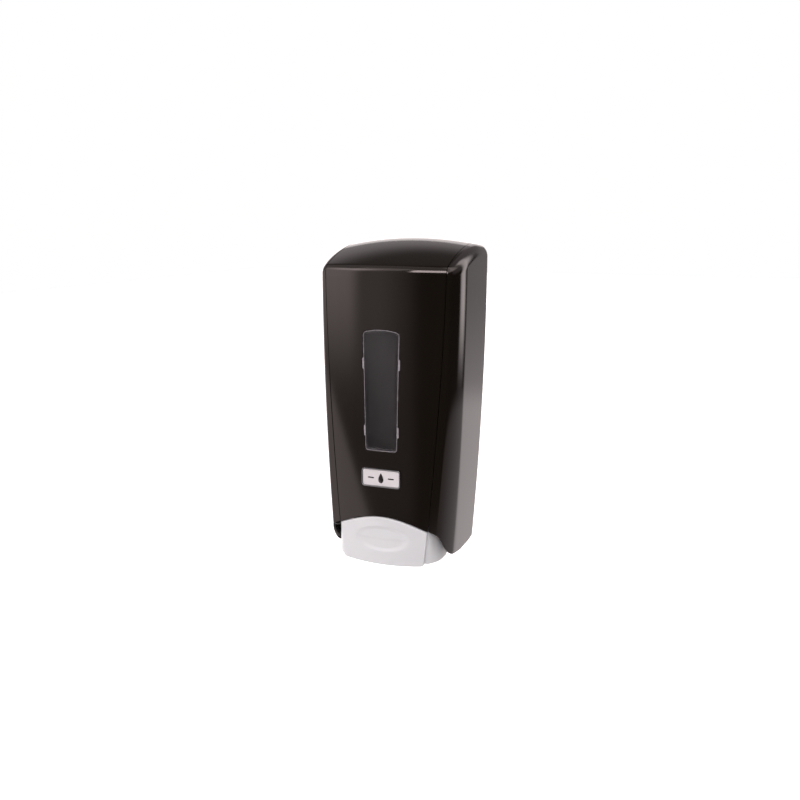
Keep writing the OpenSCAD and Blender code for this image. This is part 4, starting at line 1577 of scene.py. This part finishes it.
@dataclass
class PanScrews(NodePart):
    """Pan head screws with a cross recess and a rolled thread, in a row along x.

    Its sizes are Count screws, Step, the place X, Y, Z of the first, Head, Rise, Shank and Length.
    """

    upright: bool = False

    def make(self) -> bpy.types.Object:
        """Builds the screws."""
        tree, size = self.tree()
        ball = add(tree, "GeometryNodeMeshUVSphere", Segments=40, Rings=24, Radius=1.0)
        wide = add(tree, "ShaderNodeCombineXYZ", i0=size["Head"], i1=size["Head"], i2=size["Rise"])
        head = add(tree, "GeometryNodeTransform", Geometry=ball.outputs[0], Scale=wide.outputs[0])
        thin = add(tree, "ShaderNodeMath", {"operation": "MULTIPLY"}, i0=size["Head"], i1=0.2)
        long = add(tree, "ShaderNodeMath", {"operation": "MULTIPLY"}, i0=size["Head"], i1=1.1)
        cuts = []
        for first, second in ((thin, long), (long, thin)):
            x, y = first.outputs[0], second.outputs[0]
            bar = add(tree, "ShaderNodeCombineXYZ", i0=x, i1=y, i2=size["Rise"])
            slab = add(tree, "GeometryNodeMeshCube", Size=bar.outputs[0]).outputs[0]
            rise = add(tree, "ShaderNodeCombineXYZ", i2=size["Rise"]).outputs[0]
            cuts.append(add(tree, "GeometryNodeTransform", Geometry=slab, Translation=rise))
        sunk = head
        for cut in cuts:
            sunk = add(tree, "GeometryNodeMeshBoolean", {"operation": "DIFFERENCE"}, i0=sunk.outputs[0])
            tree.links.new(cut.outputs[0], sunk.inputs["Mesh 2"])
        floor = add(tree, "GeometryNodeMeshCube", Size=(0.05, 0.05, 0.05))
        under = add(tree, "GeometryNodeTransform", Geometry=floor.outputs[0], Translation=(0.0, 0.0, -0.025))
        flat = add(tree, "GeometryNodeMeshBoolean", {"operation": "DIFFERENCE"}, i0=sunk.outputs[0])
        tree.links.new(under.outputs[0], flat.inputs["Mesh 2"])
        shank = add(tree, "GeometryNodeMeshCylinder", Vertices=24, Radius=size["Shank"], Depth=size["Length"])
        half = add(tree, "ShaderNodeMath", {"operation": "MULTIPLY"}, i0=size["Length"], i1=-0.5)
        down = add(tree, "ShaderNodeCombineXYZ", i2=half.outputs[0])
        core = add(tree, "GeometryNodeTransform", Geometry=shank.outputs[0], Translation=down.outputs[0])
        back = add(tree, "ShaderNodeMath", {"operation": "MULTIPLY"}, i0=size["Length"], i1=-0.9)
        helix = add(
            tree,
            "GeometryNodeCurveSpiral",
            Resolution=24,
            Rotations=5.0,
            Start_Radius=size["Shank"],
            End_Radius=size["Shank"],
            Height=back.outputs[0],
        )
        ridge = add(tree, "GeometryNodeCurvePrimitiveCircle", Resolution=3, Radius=0.0002)
        thread = add(tree, "GeometryNodeCurveToMesh", i0=helix.outputs[0], i1=ridge.outputs[0])
        thread.inputs["Fill Caps"].default_value = True
        whole = add(tree, "GeometryNodeJoinGeometry", i0=flat.outputs[0])
        for more in (core, thread):
            tree.links.new(more.outputs[0], whole.inputs[0])
        step = add(tree, "ShaderNodeCombineXYZ", i0=size["Step"])
        first_at = add(tree, "ShaderNodeCombineXYZ", i0=size["X"], i1=size["Y"], i2=size["Z"])
        row = add(
            tree,
            "GeometryNodeMeshLine",
            Count=size["Count screws"],
            Start_Location=first_at.outputs[0],
            Offset=step.outputs[0],
        )
        spread = add(tree, "GeometryNodeInstanceOnPoints", Points=row.outputs[0], Instance=whole.outputs[0])
        turn = (math.pi, 0.0, 0.0) if self.upright else (math.pi / 2, 0.0, 0.0)
        spread.inputs["Rotation"].default_value = turn
        return self.close(tree, spread.outputs[0])


@dataclass
class CollarRibs(NodePart):
    """Grip ribs round the pump collar.

    Its sizes are Count ribs, Radius, Rib, Height and the place Y, Z of the ring.
    """

    def make(self) -> bpy.types.Object:
        """Builds the ring of ribs."""
        tree, size = self.tree()
        ring = add(tree, "GeometryNodeMeshCircle", Vertices=size["Count ribs"], Radius=size["Radius"])
        rib = add(tree, "GeometryNodeMeshCylinder", Vertices=10, Radius=size["Rib"], Depth=size["Height"])
        at = add(tree, "ShaderNodeCombineXYZ", i1=size["Y"], i2=size["Z"])
        put = add(tree, "GeometryNodeTransform", Geometry=ring.outputs[0], Translation=at.outputs[0])
        spread = add(tree, "GeometryNodeInstanceOnPoints", Points=put.outputs[0], Instance=rib.outputs[0])
        return self.close(tree, spread.outputs[0])


# ---------------------------------------------------------------- pump and small parts


@dataclass
class Pump:
    """The pump under the bottle: collar, cylinder, plunger, spring, ball, valve and gasket."""

    form: Form
    flange_z: float = 14.3

    def make(self) -> None:
        """Builds every part of the pump."""
        zb, at = self.form.foot, (0.0, self.form.pump_y)
        cyl0 = zb + self.flange_z + 7.563 + 4.4
        collar = lathe(
            "collar",
            [
                (9.3, zb + 33.4), (19.0, zb + 33.4), (19.4, zb + 33.8), (19.4, zb + 50.2), (19.0, zb + 50.6),
                (15.8, zb + 50.6), (15.8, zb + 36.5), (9.3, zb + 36.5),
            ],
            at, PUMP_PP,
        )
        ribs = CollarRibs(
            "collar_ribs", PUMP_PP,
            {
                "Count ribs": 48, "Radius": 19.35, "Rib": 0.62, "Height": 14.5,
                "Y": self.form.pump_y, "Z": zb + 42.2,
            },
        ).make()
        ribbed = merge("pump_collar_ribbed", [round_edges(collar, 0.3, 2), ribs])
        place(ribbed, Body.HOUSING, "pump_pp", "pump_collar")
        cylinder = lathe(
            "pump_cylinder_clear",
            [
                (4.6, cyl0), (8.6, cyl0), (9, cyl0 + 0.4), (9, zb + 36.6), (15.2, zb + 36.6), (15.2, zb + 38),
                (9, zb + 38), (9, zb + 77.6), (8.6, zb + 78), (5, zb + 78), (5, zb + 83.7), (4.7, zb + 84),
                (1.8, zb + 84), (1.8, zb + 75), (4.6, zb + 75), (4.6, zb + 69.4), (2.6, zb + 69.4),
                (2.6, zb + 68.2), (7.3, zb + 68.2), (7.3, cyl0 + 2), (4.6, cyl0 + 2),
            ],
            at, PUMP_PP,
        )
        place(round_edges(cylinder, 0.2, 2), Body.HOUSING, "pump_pp", "pump_cylinder")
        fl, cup = zb + self.flange_z, zb + 46
        plunger = lathe(
            "pump_plunger_stem",
            [
                (3, zb + 1.6), (4.0, zb + 1.6), (4.3, zb + 2), (4.3, fl), (12.1, fl), (12.5, fl + 0.4),
                (12.5, fl + 2.2), (12.1, fl + 2.6), (4.3, fl + 2.6), (4.3, cup - 7), (6.5, cup - 7),
                (6.8, cup - 6.6), (6.6, cup - 4.5), (6.4, cup - 3.6), (6.6, cup - 2.6), (6.8, cup - 0.8),
                (6.5, cup - 0.4), (2.2, cup - 0.4), (2.2, zb + 6), (3, zb + 6),
            ],
            at, PUMP_PP,
        )
        place(round_edges(plunger, 0.15, 2), Body.PLUNGER, "pump_pp", "pump_plunger")
        coil = CoilSpring(
            "pump_return_coil", SPRING_STEEL,
            {
                "Count turns": 7, "Radius": 5.6, "Length": 20.8, "Wire": 0.5,
                "X": 0, "Y": self.form.pump_y, "Z": zb + 46.6,
            },
        ).make()
        place(coil, Body.HOUSING, "spring_steel", "pump_spring")
        turn = np.linspace(0, np.pi, 33)
        arc = [(3 * math.sin(a) + 1e-4, zb + 71.3 - 3 * math.cos(a)) for a in turn]
        ball = lathe("inlet_ball_lapped", arc, at, BALL_STEEL, 48)
        place(ball, Body.HOUSING, "ball_steel", "inlet_ball")
        valve = lathe(
            "outlet_valve_duckbill",
            [
                (1.5, zb + 0.3), (3.3, zb + 0.2), (3.6, zb + 0.5), (3.6, zb + 1.2), (3.2, zb + 1.5),
                (2.9, zb + 1.6), (2.9, zb + 5.3), (2.6, zb + 5.6), (0.5, zb + 5.6), (0.5, zb + 4.9),
                (1.5, zb + 4.4),
            ],
            at, VALVE_SILICONE,
        )
        place(valve, Body.PLUNGER, "valve_silicone", "outlet_valve")
        seal = [(11, zb + 38.1), (15.4, zb + 38.1), (15.4, zb + 39.3), (11, zb + 39.3)]
        gasket = lathe("neck_gasket_cut", seal, at, GASKET_EPDM)
        place(round_edges(gasket, 0.15, 2), Body.HOUSING, "gasket_epdm", "neck_gasket")


@dataclass
class SmallParts:
    """Springs on the push bar and the screws."""

    form: Form

    def make(self) -> None:
        """Builds the return springs and the screws."""
        f = self.form
        x1 = f.arm_x - 3 - 0.6 - 3.6 - 1
        piv_y, piv_z = f.pivot
        springs = []
        for s in (-1, 1):
            start = x1 - 4.6 if s > 0 else -x1 + 0.2
            coil = CoilSpring(
                f"coil_{'right' if s > 0 else 'left'}", SPRING_STEEL,
                {
                    "Count turns": 4, "Radius": 3.3, "Length": 4.4, "Wire": 0.45,
                    "X": start, "Y": piv_y, "Z": piv_z,
                },
                axis=Axis.X,
            ).make()
            x_leg = s * (x1 - 4.4)
            leg = rod(Axis.Z, (x_leg, piv_y + 3.3), 0.4, piv_z - 13, piv_z, SPRING_STEEL, 16)
            springs += [coil, leg]
        place(merge("lever_return_coils", springs), Body.LEVER, "spring_steel", "lever_return_springs")
        cradle_x = f.bottle_x - 7
        flange0 = f.y_back - f.wall - 7
        screws = PanScrews(
            "cradle_screws_pan", SCREW_ZINC,
            {
                "Count screws": 2, "Step": 2 * cradle_x, "X": -cradle_x, "Y": flange0, "Z": f.foot + 58.3,
                "Head": 3.2, "Rise": 2.0, "Shank": 1.4, "Length": 7.4,
            },
        ).make()
        place(screws, Body.HOUSING, "screw_zinc", "cradle_screws")
        cam = PanScrews(
            "cam_screw_pan", SCREW_ZINC,
            {
                "Count screws": 1, "Step": 0, "X": 0, "Y": f.lock_y, "Z": f.top - 16.0,
                "Head": 3.4, "Rise": 1.6, "Shank": 0.8, "Length": 5.4,
            },
            upright=True,
        ).make()
        place(cam, Body.LOCK, "screw_zinc", "cam_screw")


@dataclass(frozen=True)
class Dressing:
    """A frame part that keeps its own shape and gets finer edges and a finish."""

    node: str
    body: Body
    slot: str
    finish: Finish
    edge: float = 0.3

    def make(self, nodes: dict[str, bpy.types.Object]) -> None:
        """Copies the frame part, rounds its edges and dresses it.

        Args:
            nodes: Frame objects by name.
        """
        mesh = nodes[self.node].data.copy()
        mesh.materials.clear()
        mesh.materials.append(self.finish.make())
        bm = bmesh.new()
        bm.from_mesh(mesh)
        bmesh.ops.remove_doubles(bm, verts=bm.verts, dist=2e-6)
        for f in bm.faces:
            f.material_index = 0
        bmesh.ops.dissolve_limit(bm, angle_limit=math.radians(0.8), verts=bm.verts, edges=bm.edges)
        finish_edges(bm, 32)
        bm.to_mesh(mesh)
        bm.free()
        obj = bpy.data.objects.new(f"{self.node}_made", mesh)
        bpy.context.scene.collection.objects.link(obj)
        if self.edge:
            round_edges(obj, self.edge, 2, 40)
        place(obj, self.body, self.slot, self.node)


DRESSINGS = (
    Dressing("wall_plate", Body.HOUSING, "plate_abs", PLATE_ABS, 0.35),
    Dressing("adhesive_pads", Body.HOUSING, "foam_tape", FOAM_TAPE, 0.0),
    Dressing("push_lever", Body.LEVER, "white_abs", PAD_ABS, 0.3),
    Dressing("lever_pivot_pins", Body.COVER, "pin_steel", PIN_STEEL, 0.3),
    Dressing("cover_hinge_pins", Body.COVER, "pin_steel", PIN_STEEL, 0.3),
    Dressing("lock_barrel", Body.LOCK, "lock_zinc", LOCK_ZINC, 0.12),
    Dressing("lock_cam", Body.LOCK, "lock_zinc", LOCK_ZINC, 0.15),
    Dressing("refill_cradle", Body.HOUSING, "cradle_pp", CRADLE_PP, 0.35),
)


# ---------------------------------------------------------------- studio


@dataclass(frozen=True)
class Panel:
    """A soft panel of the studio, as the object sees it.

    Attributes:
        heading: Range of its heading in degrees, 0 in front of the object and 90 on its right.
        height: Range of its height above the horizon in degrees.
        soft: Softness of its edges in heading and height.
        strength: Brightness.
        lean: How much its height range rises for each degree of heading.
    """

    heading: Pair
    height: Pair
    soft: Pair
    strength: float
    lean: float = 0.0


PANELS = (
    # a tall panel on the left, with its light fading towards the middle
    Panel((-75, -40), (-6, 40), (6, 5), 1.2),
    Panel((-100, -12), (-9, 40), (14, 5), 0.42),
    Panel((-60, 0), (-21, 30), (6, 3), 0.16),
    # the white table on the left and on the right
    Panel((-178, -20), (-90, -29.2), (8, 0.7), 0.95, -0.32),
    Panel((10, 190), (-90, -21), (8, 1.2), 0.35, 0.054),
    # the pale wall behind, brighter towards the table
    Panel((161, 190), (-90, 12), (1.5, 9), 0.42),
    Panel((161, 190), (-90, -9), (1.5, 5), 0.3),
    Panel((-190, -100), (-40, 11), (6, 5), 1.4),
    Panel((-190, -100), (5, 38), (6, 8), 0.4),
    Panel((-190, -100), (20, 75), (6, 8), 0.1),
    # a narrow strip that runs down the right corner
    Panel((141, 155), (-9, 45), (4, 4), 2.2),
    Panel((95, 190), (12, 60), (8, 8), 0.3),
    # soft fill from the right, above and below the reflected band
    Panel((30, 130), (32, 90), (12, 6), 1.5),
    Panel((20, 150), (-90, -36), (10, 5), 0.7),
    # a bright strip above the front, and a high soft ceiling over the front
    Panel((-4, 23), (20, 43), (1.5, 3), 8.5),
    Panel((-66, -30), (24, 44), (12, 5), 1.6),
    Panel((-110, 110), (34, 100), (14, 6), 0.5),
    Panel((-110, 110), (-100, -30), (10, 2), 0.55),
)


@dataclass
class Studio:
    """Pale floor, white surround with soft panels, one lamp and the camera."""

    floor_z: float = -0.62

    def make(self) -> None:
        """Builds the studio."""
        self.surround()
        self.floor()
        self.camera()
        self.box("lamp_high", (-0.9, -1.5, 1.9), (1.4, 1.0), 4, "#fffaf6")

    def surround(self) -> None:
        """A surround that is white to the camera and holds the soft panels."""
        world = bpy.data.worlds.new("studio_surround")
        world.use_nodes = True
        tree = world.node_tree
        tree.nodes.clear()
        way = add(tree, "ShaderNodeTexCoord").outputs["Generated"]
        part = add(tree, "ShaderNodeSeparateXYZ", i0=way)

        def sum_up(operation: str, a: object, b: object) -> bpy.types.NodeSocket:
            """Joins two values."""
            return add(tree, "ShaderNodeMath", {"operation": operation}, i0=a, i1=b).outputs[0]

        depth = sum_up("MULTIPLY", part.outputs[1], -1.0)
        turn = sum_up("MULTIPLY", sum_up("ARCTAN2", part.outputs[0], depth), 180 / math.pi)
        rise = add(tree, "ShaderNodeMath", {"operation": "ARCSINE"}, i0=part.outputs[2])
        rise_deg = sum_up("MULTIPLY", rise.outputs[0], 180 / math.pi)

        def edge(value: bpy.types.NodeSocket, at: float, soft: float, up: bool) -> bpy.types.NodeSocket:
            """A soft step up or down at a place."""
            ends = {"i3": 0.0, "i4": 1.0} if up else {"i3": 1.0, "i4": 0.0}
            step = add(
                tree, "ShaderNodeMapRange", {"interpolation_type": "SMOOTHSTEP"},
                i0=value, i1=at - soft, i2=at + soft, **ends,
            )
            return step.outputs[0]

        total: object = 0.015
        for panel in PANELS:
            tilt = sum_up("MULTIPLY", turn, panel.lean)
            level = sum_up("SUBTRACT", rise_deg, tilt)
            mask = edge(turn, panel.heading[0], panel.soft[0], True)
            mask = sum_up("MULTIPLY", mask, edge(turn, panel.heading[1], panel.soft[0], False))
            mask = sum_up("MULTIPLY", mask, edge(level, panel.height[0], panel.soft[1], True))
            mask = sum_up("MULTIPLY", mask, edge(level, panel.height[1], panel.soft[1], False))
            total = sum_up("ADD", sum_up("MULTIPLY", mask, panel.strength), total)
        glow = add(tree, "ShaderNodeBackground", Color=linear("#fff6f6"), Strength=total)
        white = add(tree, "ShaderNodeBackground", Color=linear("#ffffff"), Strength=1.0)
        path = add(tree, "ShaderNodeLightPath")
        seen = path.outputs["Is Camera Ray"]
        both = add(tree, "ShaderNodeMixShader", i0=seen, i1=glow.outputs[0], i2=white.outputs[0])
        add(tree, "ShaderNodeOutputWorld", Surface=both.outputs[0])
        bpy.context.scene.world = world
        bpy.context.scene.view_settings.view_transform = "Standard"

    def floor(self) -> None:
        """A plain pale floor well under the object."""
        mesh = bpy.data.meshes.new("floor")
        corners = [(-7, -1.1), (7, -1.1), (7, 12), (-7, 12)]
        mesh.from_pydata([(x, y, self.floor_z) for x, y in corners], [], [(0, 1, 2, 3)])
        mat = bpy.data.materials.new("studio_floor_matt_white")
        mat.use_nodes = True
        tree = mat.node_tree
        tree.nodes.clear()
        base = add(tree, "ShaderNodeBsdfDiffuse", Color=linear("#f4f4f4"))
        lit = add(tree, "ShaderNodeEmission", Color=linear("#ffffff"), Strength=0.75)
        both = add(tree, "ShaderNodeAddShader", i0=base.outputs[0], i1=lit.outputs[0])
        seen = add(tree, "ShaderNodeLightPath").outputs["Is Camera Ray"]
        clear = add(tree, "ShaderNodeBsdfTransparent")
        out = add(tree, "ShaderNodeMixShader", i0=seen, i1=clear.outputs[0], i2=both.outputs[0])
        add(tree, "ShaderNodeOutputMaterial", Surface=out.outputs[0])
        mesh.materials.append(mat)
        obj = bpy.data.objects.new("floor", mesh)
        bpy.context.scene.collection.objects.link(obj)

    def box(self, name: str, at: Sequence[float], size: Pair, watts: float, tone: str) -> None:
        """Adds one soft box that faces the object.

        Args:
            name: Name of the light.
            at: Its place in metres.
            size: Width and height in metres.
            watts: Power.
            tone: Colour of its light.
        """
        light = bpy.data.lights.new(name, "AREA")
        light.shape = "RECTANGLE"
        light.size, light.size_y = size
        light.energy = watts
        light.color = linear(tone)[:3]
        obj = bpy.data.objects.new(name, light)
        obj.location = at
        aim = Vector((0.0, -0.05, 0.0)) - Vector(at)
        obj.rotation_euler = aim.to_track_quat("-Z", "Y").to_euler()
        obj.visible_camera = False
        bpy.context.scene.collection.objects.link(obj)

    def camera(self) -> None:
        """Puts the camera in front, to the right and slightly above."""
        data = bpy.data.cameras.new("camera")
        data.lens, data.sensor_width = 40.5, 36.0
        data.clip_start, data.clip_end = 0.01, 50
        obj = bpy.data.objects.new("camera", data)
        obj.location = (0.29187, -0.81682, 0.16237)
        obj.rotation_euler = (math.radians(78.59), 0.0, math.radians(21.0))
        bpy.context.scene.collection.objects.link(obj)
        bpy.context.scene.camera = obj


def main() -> None:
    """Builds the dispenser and its studio."""
    logging.basicConfig(level=logging.INFO, format="%(message)s")
    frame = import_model()
    form = Form()
    FrontCover(form, WindowShape(form), BadgeShape()).make()
    RearHousing(form).make()
    PushPad(form).make()
    RefillBottle(form).make()
    Pump(form).make()
    SmallParts(form).make()
    for dressing in DRESSINGS:
        dressing.make(frame["nodes"])
    Studio().make()


if __name__ == "__main__":
    main()
